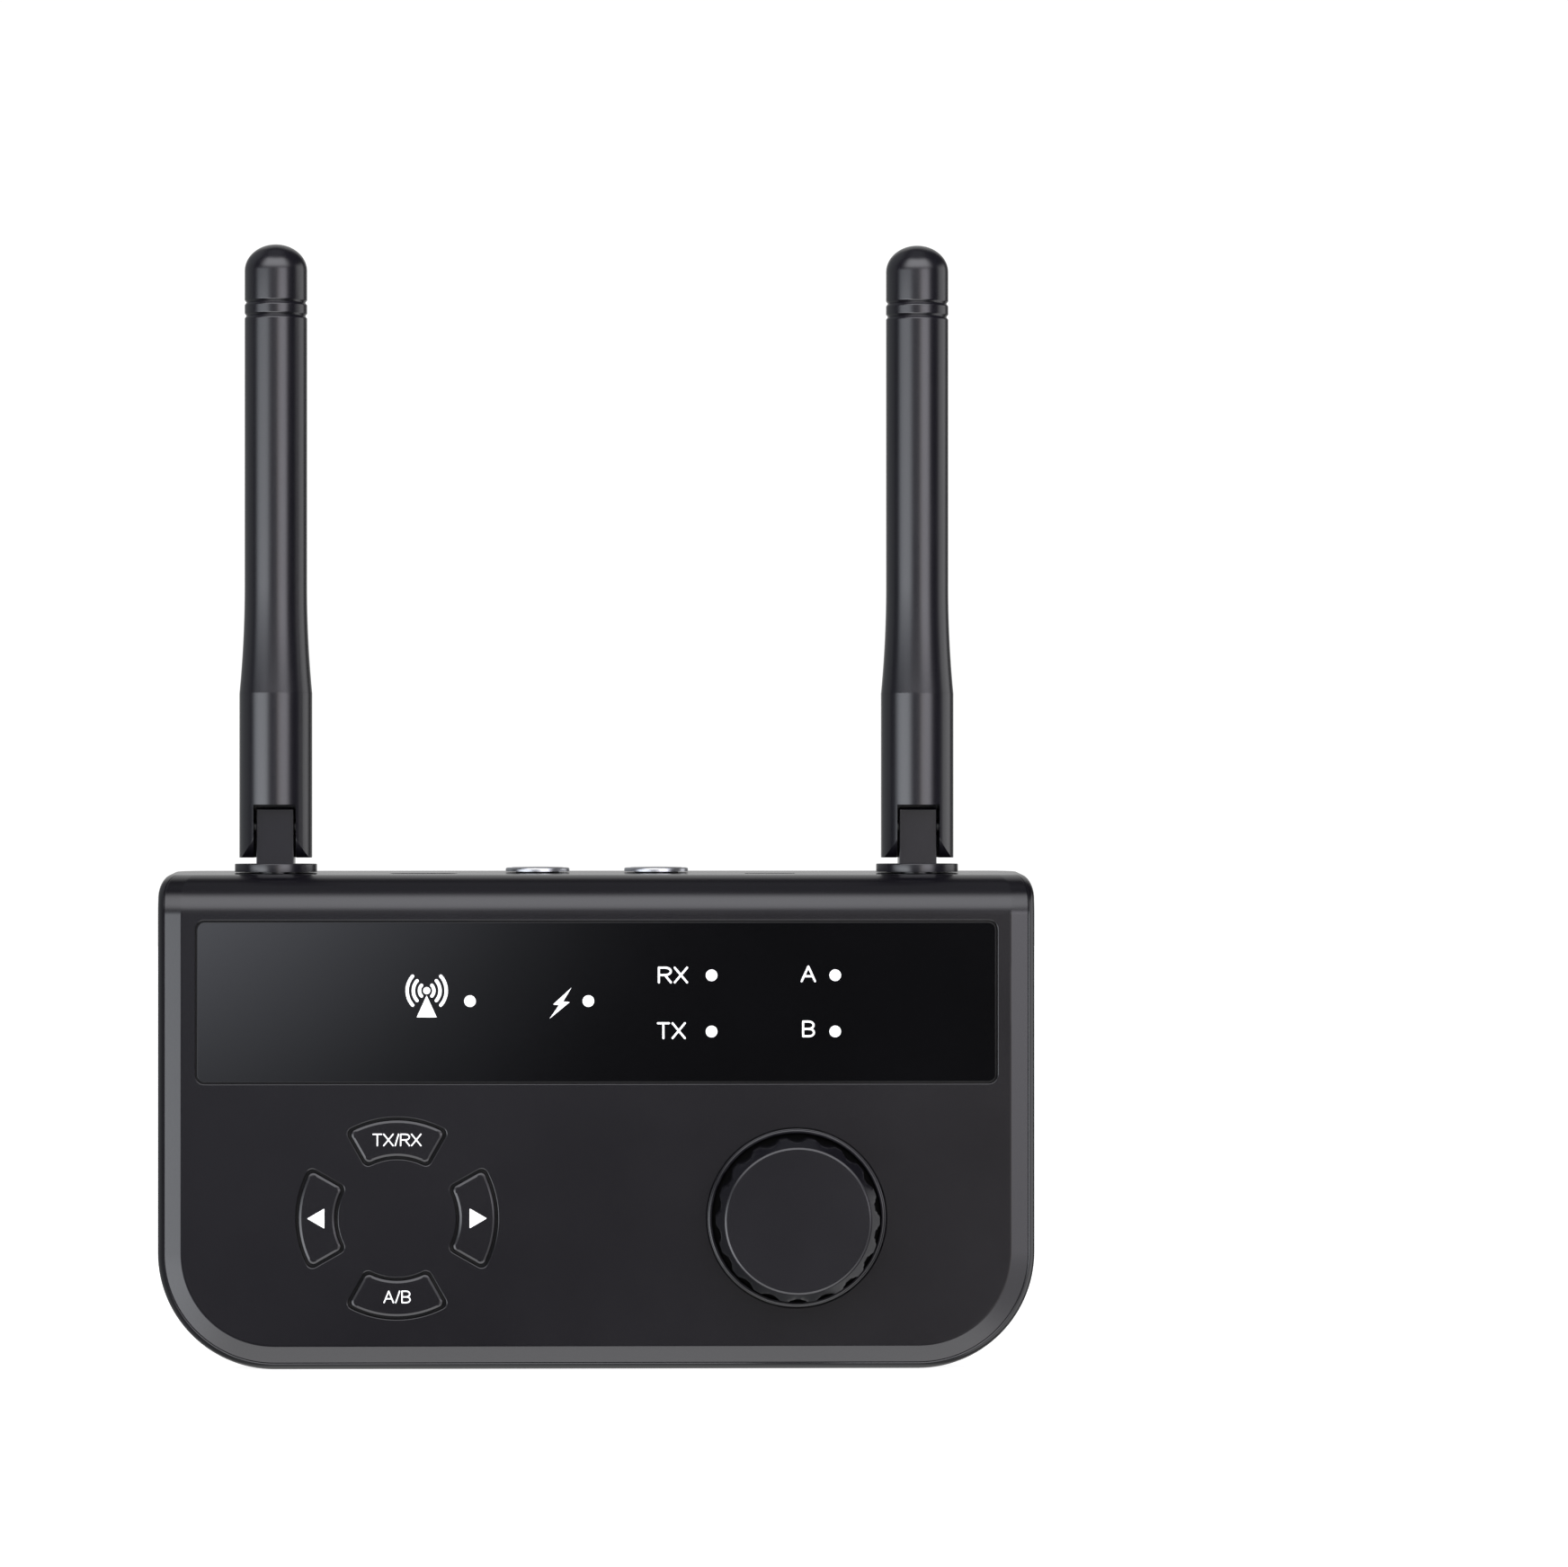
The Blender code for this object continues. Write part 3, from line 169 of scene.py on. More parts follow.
GROOVE_DEPTH, GROOVE_HALF = 0.25 * MM, 0.35 * MM

# Sockets and switch in the top
JACK_X, JACK_Y, _ = middle("jack_collar_right")
JACK_RADIUS, JACK_NOSE, JACK_BORE = 4.45 * MM, 3.0 * MM, 1.8 * MM
JACK_RIM, BEAD_INNER = 3.72 * MM, 3.1 * MM
USB_X, USB_Y, _ = middle("usb_c_receptacle")
USB_WALL, TONGUE_HALF, TONGUE_THIN = 0.3 * MM, 3.35 * MM, 0.35 * MM
SWITCH_X, SWITCH_Y = 24.0 * MM, middle("power_switch_slider")[1]
SWITCH_HALF_X, SWITCH_HALF_Y, SWITCH_CORNER = 3.4 * MM, 1.2 * MM, 0.3 * MM


# ---- nodes and materials


class Tree:
    """A short way to add nodes to a material or world and wire them."""

    def __init__(self, owner):
        owner.use_nodes = True
        self.nodes, self.links = owner.node_tree.nodes, owner.node_tree.links

    def put(self, socket, value):
        if isinstance(value, bpy.types.NodeSocket):
            self.links.new(value, socket)
        else:
            socket.default_value = value

    def add(self, kind, inputs=(), out=0, **settings):
        node = self.nodes.new(kind)
        for name, value in settings.items():
            setattr(node, name, value)
        for socket, value in dict(inputs).items():
            self.put(node.inputs[socket], value)
        return node.outputs[out]

    def math(self, operation, a, b=0.0):
        return self.add("ShaderNodeMath", {0: a, 1: b}, operation=operation)

    def vector(self, operation, a, b):
        return self.add("ShaderNodeVectorMath", {0: a, 1: b}, operation=operation)

    def remap(self, value, low, high, to_low=0.0, to_high=1.0, smooth=False):
        inputs = {"Value": value, "From Min": low, "From Max": high, "To Min": to_low, "To Max": to_high}
        return self.add("ShaderNodeMapRange", inputs, interpolation_type="SMOOTHSTEP" if smooth else "LINEAR")

    def noise(self, scale, detail, stretch):
        place = self.add("ShaderNodeTexCoord", out="Object")
        if stretch:
            place = self.add("ShaderNodeMapping", {"Vector": place, "Scale": stretch})
        inputs = {"Vector": place, "Scale": scale, "Detail": detail, "Roughness": 0.6}
        return self.add("ShaderNodeTexNoise", inputs)

    def blend(self, factor, a, b):
        return self.add("ShaderNodeMix", {0: factor, 6: (*a, 1.0), 7: (*b, 1.0)}, 2, data_type="RGBA")


def material(name, colours, rough, grain=(5200.0, 0.25), drift=45.0, stretch=None, **settings):
    """A Principled material. Its colour drifts between two tones and its roughness between two values, and a
    fine noise of (scale per metre, strength) stands as a bump."""
    made = bpy.data.materials.new(name)
    tree = Tree(made)
    shader = tree.nodes["Principled BSDF"]
    broad, fine = tree.noise(drift, 4.0, stretch), tree.noise(grain[0], 2.0, stretch)
    tree.put(shader.inputs["Base Color"], tree.blend(tree.remap(broad, 0.35, 0.65), *colours))
    inputs = {0: broad, 1: 0.5, 2: tree.math("MULTIPLY", fine, 0.5)}
    mixed = tree.add("ShaderNodeMath", inputs, operation="MULTIPLY_ADD")
    tree.put(shader.inputs["Roughness"], tree.remap(mixed, 0.3, 0.7, *rough))
    bump = tree.add("ShaderNodeBump", {"Strength": grain[1], "Distance": 0.01 * MM, "Height": fine})
    tree.put(shader.inputs["Normal"], bump)
    for label, value in settings.items():
        shader.inputs[label.replace("_", " ").title().replace("Ior", "IOR")].default_value = value
    return made


def board_material():
    """Green solder mask over fine copper tracks."""
    made = material("board_mask", ((0.006, 0.07, 0.03), (0.01, 0.10, 0.045)), (0.3, 0.42))
    tree = Tree(made)
    place = tree.add("ShaderNodeTexCoord", out="Object")
    turned = tree.add("ShaderNodeMapping", {"Vector": place, "Rotation": (radians(90), 0, 0)})
    tracks = {"Vector": turned, "Scale": 220.0, "Mortar Size": 0.03, "Color1": (0.006, 0.075, 0.032, 1),
              "Color2": (0.009, 0.095, 0.042, 1), "Mortar": (0.03, 0.2, 0.09, 1)}
    tree.put(tree.nodes["Principled BSDF"].inputs["Base Color"], tree.add("ShaderNodeTexBrick", tracks))
    return made


SATIN = ((0.0042, 0.0036, 0.0058), (0.0052, 0.0046, 0.0070)), (0.19, 0.24), (5200.0, 0.10)
ANTENNA_TONES = (0.0062, 0.0056, 0.0090), (0.0076, 0.0070, 0.0106)
KNOB_TONES = (0.0048, 0.0044, 0.0072), (0.0060, 0.0056, 0.0086)
GLASS_TONES = (0.0025, 0.0025, 0.003), (0.0032, 0.0032, 0.004)
CHROME_TONES = (0.84, 0.84, 0.86), (0.90, 0.90, 0.91)
STEEL_TONES = (0.42, 0.42, 0.43), (0.52, 0.52, 0.53)
DARK_TONES = (0.012, 0.012, 0.013), (0.018, 0.018, 0.019)
BRASS_TONES = (0.55, 0.40, 0.15), (0.66, 0.48, 0.2)
SOCKET_TONES = (0.010, 0.010, 0.011), (0.014, 0.014, 0.015)
CELL_TONES = (0.08, 0.13, 0.26), (0.11, 0.17, 0.32)
COLLAR_TONES = (0.52, 0.53, 0.56), (0.58, 0.59, 0.62)
# Emission shared by the lamp dots, which are real lamps, and by the white print, where it is painted
# brightness.
GLOWING = {"emission_color": (1, 1, 1, 1), "emission_strength": 0.36}
LOOKS = {
    "case_black": material("case_plastic", *SATIN),
    "antenna_black": material("antenna_plastic", ANTENNA_TONES, (0.22, 0.27), (5200.0, 0.08), ior=1.6),
    "window_black": material("window_glass", GLASS_TONES, (0.05, 0.07), (1500.0, 0.003)),
    "button_black": material("button_plastic", *SATIN),
    "knob_black": material("knob_plastic", KNOB_TONES, (0.19, 0.24), (5200.0, 0.12)),
    "chrome": material("bright_chrome", CHROME_TONES, (0.10, 0.16), (2600.0, 0.02), metallic=1.0),
    "steel": material(
        "plain_steel", STEEL_TONES, (0.24, 0.36), (3000.0, 0.25), stretch=(1, 1, 0.2), metallic=1.0),
    "dark_steel": material("dark_steel", DARK_TONES, (0.3, 0.4), (3000.0, 0.2)),
    "brass": material("plain_brass", BRASS_TONES, (0.24, 0.36), (3000.0, 0.2), metallic=1.0),
    "inner_plastic": material("socket_plastic", SOCKET_TONES, (0.38, 0.5), (4000.0, 0.3)),
    "board_green": board_material(),
    "battery_wrap": material("cell_wrap", CELL_TONES, (0.32, 0.45), (900.0, 0.4)),
    "led_white": material("lamp_white", ((0.85,) * 3, (0.9,) * 3), (0.25, 0.35), (4000.0, 0.1), **GLOWING),
}
# The white print glows a little too: a painted brightness on top of the ink's own white.
GLOWING_PRINT = material("glowing_white_print", ((0.80,) * 3, (0.86,) * 3), (0.4, 0.5), (6000.0, 0.1), **GLOWING)
# Near-black, matte, almost unreflecting stuff that paints shade into the gaps round the knob and along the
# parting line.
GAP_SHADE = material(
    "black_gap_shade", ((0.001,) * 3, (0.002,) * 3), (0.85, 0.95), (3000.0, 0.6), specular_ior_level=0.1)
COLLAR_METAL = material("satin_metal", COLLAR_TONES, (0.26, 0.34), (5000.0, 0.1), metallic=1.0)


# ---- shapes


def skin(bm, rows):
    """Faces between closed rows of vertices. A row may be one vertex repeated."""
    for low, high in zip(rows, rows[1:]):
        for corners in zip(low, low[1:] + low[:1], high[1:] + high[:1], high):
            bm.faces.new(list(dict.fromkeys(corners)))


def loft(bm, rings, caps=True):
    """A skin through rings of equal length, capped at both ends."""
    rows = [[bm.verts.new(point) for point in ring] for ring in rings]
    skin(bm, rows)
    if caps:
        bm.faces.new(rows[0][::-1])
        bm.faces.new(rows[-1])
    return rows


PLACE = {
    "X": lambda point, at: (at, point[0], point[1]),
    "Y": lambda point, at: (point[0], at, point[1]),
    "Z": lambda point, at: (point[0], point[1], at),
}


def prism(bm, outline, low, high, axis="Y"):
    loft(bm, [[PLACE[axis](point, at) for point in outline] for at in (low, high)])


def soft_prism(bm, outline, low, high, edge, axis="Y", steps=4, ends=(True, True)):
    """outline(grow) swept along an axis, with edges rounded by a radius at the ends asked for."""
    turns = [pi / 2 * i / steps for i in range(steps + 1)]
    levels = [(-edge * (1 - sin(a)), edge * (1 - cos(a))) for a in turns]
    first = [(grow, low + along) for grow, along in levels] if ends[0] else [(0.0, low)]
    last = [(grow, high - along) for grow, along in levels[::-1]] if ends[1] else [(0.0, high)]
    loft(bm, [[PLACE[axis](point, at) for point in outline(grow)] for grow, at in first + last])


def arc(centre, radius, start, end, count, radius_y=None):
    """Points of a round or elliptical arc, angles in radians."""
    angles = [start + (end - start) * i / count for i in range(count + 1)]
    return [(centre[0] + radius * cos(a), centre[1] + (radius_y or radius) * sin(a)) for a in angles]


def circle(centre, radius, count=96):
    return arc(centre, radius, 0, 2 * pi * (count - 1) / count, count - 1)


def round_box(low, high, radius, steps=8):
    points = []
    for i, (x, y) in enumerate(((high[0], high[1]), (low[0], high[1]), (low[0], low[1]), (high[0], low[1]))):
        centre = (x + (radius if x == low[0] else -radius), y + (radius if y == low[1] else -radius))
        points += arc(centre, radius, i * pi / 2, (i + 1) * pi / 2, steps)
    return points


def grown_box(low, high, radius, steps=8):
    """outline(grow) of a rectangle with round corners."""
    return lambda grow: round_box(
        (low[0] - grow, low[1] - grow), (high[0] + grow, high[1] + grow), radius + grow, steps)


def soften(points, steps=5, closed=True):
    """Rounds the corners of an outline of (x, y, radius) points."""
    softened = []
    for i, (x, y, radius) in enumerate(points):
        here = Vector((x, y))
        if radius == 0 or (not closed and i in (0, len(points) - 1)):
            softened.append((x, y))
            continue
        before = Vector(points[i - 1][:2]) - here
        after = Vector(points[(i + 1) % len(points)][:2]) - here
        reach = min(radius, before.length / 2.01, after.length / 2.01)
        start, end = here + before.normalized() * reach, here + after.normalized() * reach
        for k in range(steps + 1):
            t = k / steps
            softened.append(tuple(start * (1 - t) ** 2 + here * 2 * t * (1 - t) + end * t**2))
    return softened


def lathe(bm, profile, count, centre, front=None):
    """Turns (radius, height) points about Z, or about Y with heights that run forward from a plane Y = front.
    A profile that starts and ends on the axis makes a solid, and another is closed and makes a ring."""
    rows = []
    for radius, height in profile:
        ring = circle(centre, radius, count) if radius else [centre]
        row = [bm.verts.new((x, y, height) if front is None else (x, front - height, y)) for x, y in ring]
        rows.append(row if radius else row * count)
    skin(bm, rows + rows[:1] if profile[0][0] > 0 else rows)


def mesh_of(name, build):
    bm = bmesh.new()
    build(bm)
    bmesh.ops.recalc_face_normals(bm, faces=bm.faces)
    mesh = bpy.data.meshes.new(name)
    bm.to_mesh(mesh)
    bm.free()
    return mesh


def solid(name, build):
    made = bpy.data.objects.new(name, mesh_of(name, build))
    bpy.context.scene.collection.objects.link(made)
    return made


def freeze(made):
    """Applies an object's modifiers."""
    bpy.context.view_layer.update()
    mesh = bpy.data.meshes.new_from_object(made.evaluated_get(bpy.context.evaluated_depsgraph_get()))
    old = made.data
    made.modifiers.clear()
    made.data = mesh
    bpy.data.meshes.remove(old)


def carve(made, build, operation="DIFFERENCE"):
    """Applies one Boolean with the solid that build makes, which is cut away unless the operation differs."""
    cutter = solid("cutter", build)
    modifier = made.modifiers.new("carve", "BOOLEAN")
    modifier.operation, modifier.object, modifier.solver = operation, cutter, "EXACT"
    freeze(made)
    bpy.data.objects.remove(cutter)


def finish_piece(made, slot, body="case", node=None, look=None, crease=32, weighted=True):
    """Shading, material and body of a piece, which wears the look of its slot or one of its own."""
    made.data.materials.clear()
    made.data.materials.append(look or LOOKS[slot])
    made.data.shade_smooth()
    made.data.set_sharp_from_angle(angle=radians(crease))
    if weighted:
        modifier = made.modifiers.new("weighted", "WEIGHTED_NORMAL")
        modifier.keep_sharp = True
        modifier.weight = 60
        freeze(made)
    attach(made, body)
    if node:
        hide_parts(node)


def add_piece(name, build, slot, body="case", node=None, cuts=(), **finish):
    """A finished piece: what build makes, after the Booleans in cuts, each (build,) or (build, operation)."""
    made = solid(name, build)
    for cut in cuts:
        carve(made, *cut)
    finish_piece(made, slot, body, node, **finish)


# ---- case


def depth_y(depth):
    return FRONT + depth


def rounded(distance, radius):
    """How far a quarter-round edge has fallen back at a distance from its end, where it is largest."""
    if distance >= radius:
        return 0.0
    return radius - sqrt(max(0.0, radius**2 - (radius - distance) ** 2))


def back_depth(z):
    """Depth of the case's back at a height: slanted below the knee, upright above it."""
    tangent, slope = KNEE_RADIUS * tan(BACK_SLANT / 2), tan(BACK_SLANT)
    knee = (CASE_DEPTH - BASE_DEPTH) / slope
    start, end = knee - tangent * cos(BACK_SLANT), knee + tangent
    if z >= end:
        return CASE_DEPTH
    if z <= start:
        return BASE_DEPTH + slope * z
    return CASE_DEPTH - KNEE_RADIUS + sqrt(KNEE_RADIUS**2 - (end - z) ** 2)


def half_width(z, inset=0.0):
    radius = BOTTOM_CORNER - inset
    if z < BOTTOM_CORNER:
        drop = min(BOTTOM_CORNER - z, radius)
        return HALF_WIDTH - BOTTOM_CORNER + sqrt(radius**2 - drop**2)
    above = z - (TOP - TOP_CORNER_Z)
    if inset or above <= 0:
        return HALF_WIDTH - inset
    return HALF_WIDTH - TOP_CORNER_X * (1 - sqrt(1 - min(above / TOP_CORNER_Z, 1.0) ** 2))


def top_height(y):
    return TOP + TOP_SLOPE * (y - depth_y(CASE_DEPTH / 2))


def case_stations():
    """Stops round the left half of the front view, from the top down to the middle of the bottom:
    (x, z, outward x, outward z, radius of the back edge)."""
    turns = [radians(a) for a in (90, 86, 82, 78, 73, 68, 63, 57, 51, 45, 39, 33, 27, 21, 15, 9, 4, 0)]
    heights = [TOP - FRONT_TOP_RADIUS * (1 - sin(a)) for a in turns]
    heights += KNEE_HEIGHTS[:-1] + [STRAIGHT_STOP, BOTTOM_CORNER]
    stops = [(-half_width(z), z, -1.0, 0.0, BACK_EDGE) for z in heights]
    centre = (BOTTOM_CORNER - HALF_WIDTH, BOTTOM_CORNER)
    steps = 30
    for i in range(1, steps + 1):
        a = pi * (1 + i / steps / 2)
        x, z = centre[0] + BOTTOM_CORNER * cos(a), centre[1] + BOTTOM_CORNER * sin(a)
        share = i / steps
        edge = BACK_EDGE + (BACK_BOTTOM_RADIUS - BACK_EDGE) * share * share * (3 - 2 * share)
        stops.append((x, z, cos(a), sin(a), edge))
    return stops


def case_section(x, z, out_x, out_z, edge):
    """Points across the case at one stop, from inside the front face, round the side, to inside the back."""
    band_slope = BAND_DEPTH / (BAND_INSET - FRONT_EDGE)
    crease = FRONT_EDGE + CREASE_HALF
    # (inset from the side, depth) from the flat of the front over the chamfer and the groove to the side
    front = [(BAND_INSET + 0.25 * MM, 0.0), (BAND_INSET, 0.0),
             (BAND_INSET - 0.12 * MM, band_slope * 0.06 * MM),
             (crease + CREASE_HALF, BAND_DEPTH - band_slope * 2 * CREASE_HALF),
             (crease, BAND_DEPTH + CREASE_DEPTH)]
    steps = 10
    for i in range(steps + 1):
        a = EDGE_START + (pi / 2 - EDGE_START) * i / steps
        depth = BAND_DEPTH + EDGE_RADIUS * (cos(EDGE_START) - cos(a))
        front.append((EDGE_RADIUS * (1 - sin(a)), depth))
    turns = [pi / 2 * i / steps for i in range(steps + 1)]
    back = [(edge * (1 - cos(a)), edge * (1 - sin(a))) for a in turns] + [(BACK_RIM, 0.0)]
    fall_front, fall_back = rounded(TOP - z, FRONT_TOP_RADIUS), rounded(TOP - z, BACK_TOP_RADIUS)
    lift = max(0.0, (z - TOP + FRONT_TOP_RADIUS) / FRONT_TOP_RADIUS) * TOP_SLOPE
    points = [(inset, z - out_z * inset, depth_y(depth + fall_front)) for inset, depth in front]
    for inset, depth in back:
        height = z - out_z * inset
        points.append((inset, height, depth_y(back_depth(height) - depth - fall_back)))
    centre = depth_y(CASE_DEPTH / 2)
    return [(x - out_x * inset, y, height + lift * (y - centre)) for inset, height, y in points]


def case_outer(bm):
    left = [case_section(*stop) for stop in case_stations()]
    right = [[(-x, y, z) for x, y, z in section] for section in left[::-1]]
    columns = [[bm.verts.new(point) for point in section] for section in left + right]
    for one, two in zip(columns, columns[1:]):
        for i in range(len(one) - 1):
            bm.faces.new((one[i], one[i + 1], two[i + 1], two[i]))
    count = len(columns)
    flat_front = 17  # stop where the rounded top ends
    flat_back = 29  # stop where the slanted back begins
    for end, last in ((0, flat_front), (-1, flat_back)):
        for i in range(last):
            corners = (i, i + 1, count - 2 - i, count - 1 - i)
            bm.faces.new([columns[corner][end] for corner in corners])
        bm.faces.new([columns[i][end] for i in range(last, count - last)])
    bm.faces.new(columns[0] + columns[-1][::-1])


def inside_parting(bm, wall):
    """Everything further than the wall from the front and top faces."""
    front = depth_y(wall)
    corner = (front + PARTING_RADIUS, top_height(front) - wall - PARTING_RADIUS)
    outline = [(BEHIND, BELOW), (BEHIND, top_height(BEHIND) - wall)]
    outline += arc(corner, PARTING_RADIUS, pi / 2, pi, 16)
    outline.append((front, BELOW))
    prism(bm, outline, -BEYOND, BEYOND, "X")


def lipped_hole(bm, outline, floor, face, axis="Y", outward=-1):
    """A cutter for an opening with a fine bevel where it meets the face. outline(grow) gives its shape."""
    levels = [(0.0, floor)] + [(grow * MM, face - outward * depth * MM) for grow, depth in LIP]
    levels.append((LIP[-1][0] * MM * 1.04, face + outward * 2 * MM))
    loft(bm, [[PLACE[axis](point, at) for point in outline(grow)] for grow, at in levels])


def sector_outline(grow, corner=SECTOR_CORNER):
    """A button's outline about the centre of the ring of buttons, pointing along +X, with round corners."""
    outer, inner = SECTOR_OUTER + grow - corner, SECTOR_INNER - grow + corner
    out_half, in_half = (SECTOR_HALF + (grow + SECTOR_WIDEN - corner) / radius for radius in (outer, inner))
    side = SECTOR_HALF + pi / 2
    half = arc((0, 0), outer + corner, 0, out_half, 14)
    centre = (outer * cos(out_half), outer * sin(out_half))
    half += arc(centre, corner, out_half, side, 8)
    centre = (inner * cos(in_half), inner * sin(in_half))
    half += arc(centre, corner, side, in_half + pi, 8)
    half += arc((0, 0), inner - corner, in_half, 0, 12)
    kept = [half[0]]
    for point in half[1:]:
        if dist(point, kept[-1]) > 1e-7:
            kept.append(point)
    return kept + [(x, -y) for x, y in kept[-2:0:-1]]


def sector_at(turn, grow, corner=SECTOR_CORNER):
    """A button's outline at its place in the ring of buttons."""
    cosine, sine = cos(turn), sin(turn)
    return [(BUTTONS_X + x * cosine - z * sine, BUTTONS_Z + x * sine + z * cosine)
            for x, z in sector_outline(grow, corner)]


window_outline = grown_box((WINDOW_LOW.x, WINDOW_LOW.z), (WINDOW_HIGH.x, WINDOW_HIGH.z), WINDOW_CORNER)
switch_outline = grown_box((SWITCH_X - SWITCH_HALF_X, SWITCH_Y - SWITCH_HALF_Y),
                           (SWITCH_X + SWITCH_HALF_X, SWITCH_Y + SWITCH_HALF_Y), SWITCH_CORNER)


def usb_outline(grow):
    half = Vector(((USB_HIGH.x - USB_LOW.x) / 2 + grow, (USB_HIGH.y - USB_LOW.y) / 2 + grow))
    low, high = (USB_X - half.x, USB_Y - half.y), (USB_X + half.x, USB_Y + half.y)
    return round_box(low, high, half.y * 0.96)


def cover_cuts(bm):
    """Pockets of the window and the bezel, openings of the buttons, and the holes in the top."""
    lipped_hole(bm, lambda g: window_outline(WINDOW_GAP + g), depth_y(POCKET), FRONT)
    lipped_hole(bm, lambda g: circle((KNOB_X, KNOB_Z), KNOB_HOLE + g, 160), depth_y(POCKET), FRONT)
    for i in range(4):
        lipped_hole(bm, lambda g: sector_at(i * pi / 2, g), depth_y(3 * MM), FRONT)
    for side in (-1, 1):
        for centre, radius, count in (
            ((side * ANTENNA_X, BASE_Y), STEM_RADIUS + 0.3 * MM, 48),
            ((side * JACK_X, JACK_Y), JACK_NOSE + 0.2 * MM, 64),
        ):
            prism(bm, circle(centre, radius, count), TOP - REACH, TOP + REACH, "Z")
    lipped_hole(bm, lambda g: usb_outline(0.15 * MM + g), TOP - REACH, top_height(USB_Y), "Z", 1)
    lipped_hole(bm, switch_outline, TOP - REACH, top_height(SWITCH_Y), "Z", 1)


def cover_floor_holes(bm):
    """Bores for the lamps and the knob's shaft through the floors of the pockets."""
    bores = [(middle(lamp), LAMP_RADIUS + 0.25 * MM, 24) for lamp in LAMPS]
    for (x, _, z), radius, count in bores + [((KNOB_X, 0, KNOB_Z), SHAFT_HOLE, 48)]:
        prism(bm, circle((x, z), radius, count), depth_y(0.5 * MM), depth_y(3 * MM))


def cover_posts(bm):
    """Screw bosses on the back of the front wall."""
    start = -depth_y(COVER_WALL - 0.4 * MM)
    for i in range(4):
        for kind, bore, radius, end in BOSSES:
            x, _, z = middle(f"{kind}_screw_{i + 1}")
            bore, radius, end = bore * MM, radius * MM, -depth_y(end * MM)
            lathe(bm, [(bore, start), (radius, start), (radius, end), (bore, end)], 32, (x, z), 0)


def gap_fill_plan(bm):
    """The case seen from above with its round back corners, inset by the distance of the near-black gap fill
    from the surface.
    """
    side, back = HALF_WIDTH - GAP_FILL_INSET, depth_y(CASE_DEPTH - GAP_FILL_INSET)
    outline = round_box((-side, FRONT - 2 * BACK_EDGE), (side, back), BACK_EDGE - GAP_FILL_INSET)
    prism(bm, outline, BELOW, BEYOND, "Z")


def case_cavity(bm, inset=HOUSING_WALL):
    """Everything further than the inset from the sides, the bottom and the back."""
    radius = BOTTOM_CORNER - inset
    heights = [BOTTOM_CORNER - radius * cos(pi / 2 * i / 14) for i in range(15)]
    rings = []
    for z in heights + KNEE_HEIGHTS[::-1] + [BEYOND]:
        x, back, front = half_width(z, inset), depth_y(back_depth(z) - inset), FRONT - 10 * MM
        rings.append([(x, back, z), (-x, back, z), (-x, front, z), (x, front, z)])
    loft(bm, rings)


def screw_place(i):
    """Axis (x, z) of a case screw and the Y of its seat."""
    x, _, z = middle(f"case_screw_{i + 1}")
    return x, z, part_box(f"case_screw_{i + 1}")[1].y - SCREW_SEAT


def housing_holes(bm):
    """Bores for the case screws, with a well for each head."""
    for i in range(4):
        x, z, seat = screw_place(i)
        mouth = -seat - 10 * MM
        profile = [(0.0, -FRONT), (SCREW_BORE, -FRONT), (SCREW_BORE, -seat), (SCREW_WELL, -seat),
                   (SCREW_WELL, mouth), (0.0, mouth)]
        lathe(bm, profile, 64, (x, z), 0)


def make_case():
    add_piece("front_cover_shell", case_outer, "case_black", node="front_cover", crease=15, cuts=(
        (lambda s: inside_parting(s, COVER_WALL),),
        (cover_cuts,),
        (cover_floor_holes,),
        (cover_posts, "UNION"),
    ))
    add_piece("rear_housing_shell", case_outer, "case_black", node="rear_housing", crease=20, cuts=(
        (lambda s: inside_parting(s, COVER_WALL + PARTING_GAP), "INTERSECT"),
        (case_cavity,),
        (housing_holes,),
    ))
    # A near-black fill set into the parting gap, which paints the gap's shade.
    near, far = COVER_WALL + GAP_FILL_GRIP, COVER_WALL + PARTING_GAP - GAP_FILL_GRIP
    add_piece("case_gap_shade_fill", lambda s: inside_parting(s, near), "case_black", look=GAP_SHADE, cuts=(
        (lambda s: inside_parting(s, far),),
        (lambda s: case_cavity(s, GAP_FILL_INSET), "INTERSECT"),
        (gap_fill_plan, "INTERSECT"),
        (case_cavity,),
    ))


# ---- window, marks and buttons


def stroke(bm, points, width, y):
    """A line of round-ended strokes through (x, z) points in mm, printed on a surface at y."""
    half = width / 2 * MM
    for n, (start, end) in enumerate(zip(points, points[1:])):
        start, end = Vector(start) * MM, Vector(end) * MM
        angle = atan2(end.y - start.y, end.x - start.x)
        outline = arc(end, half, angle - pi / 2, angle + pi / 2, 8)
        outline += arc(start, half, angle + pi / 2, angle + pi * 1.5, 8)
        prism(bm, outline, y + PRINT_HEIGHT, y - PRINT_HEIGHT - n * 0.0002 * MM)


def patch(bm, points, y, corner=0.08):
    """A filled mark with slightly rounded corners, from (x, z) points in mm."""
    outline = mm(soften([(x, z, corner) for x, z in points], 4))
    prism(bm, outline, y + PRINT_HEIGHT, y - PRINT_HEIGHT)


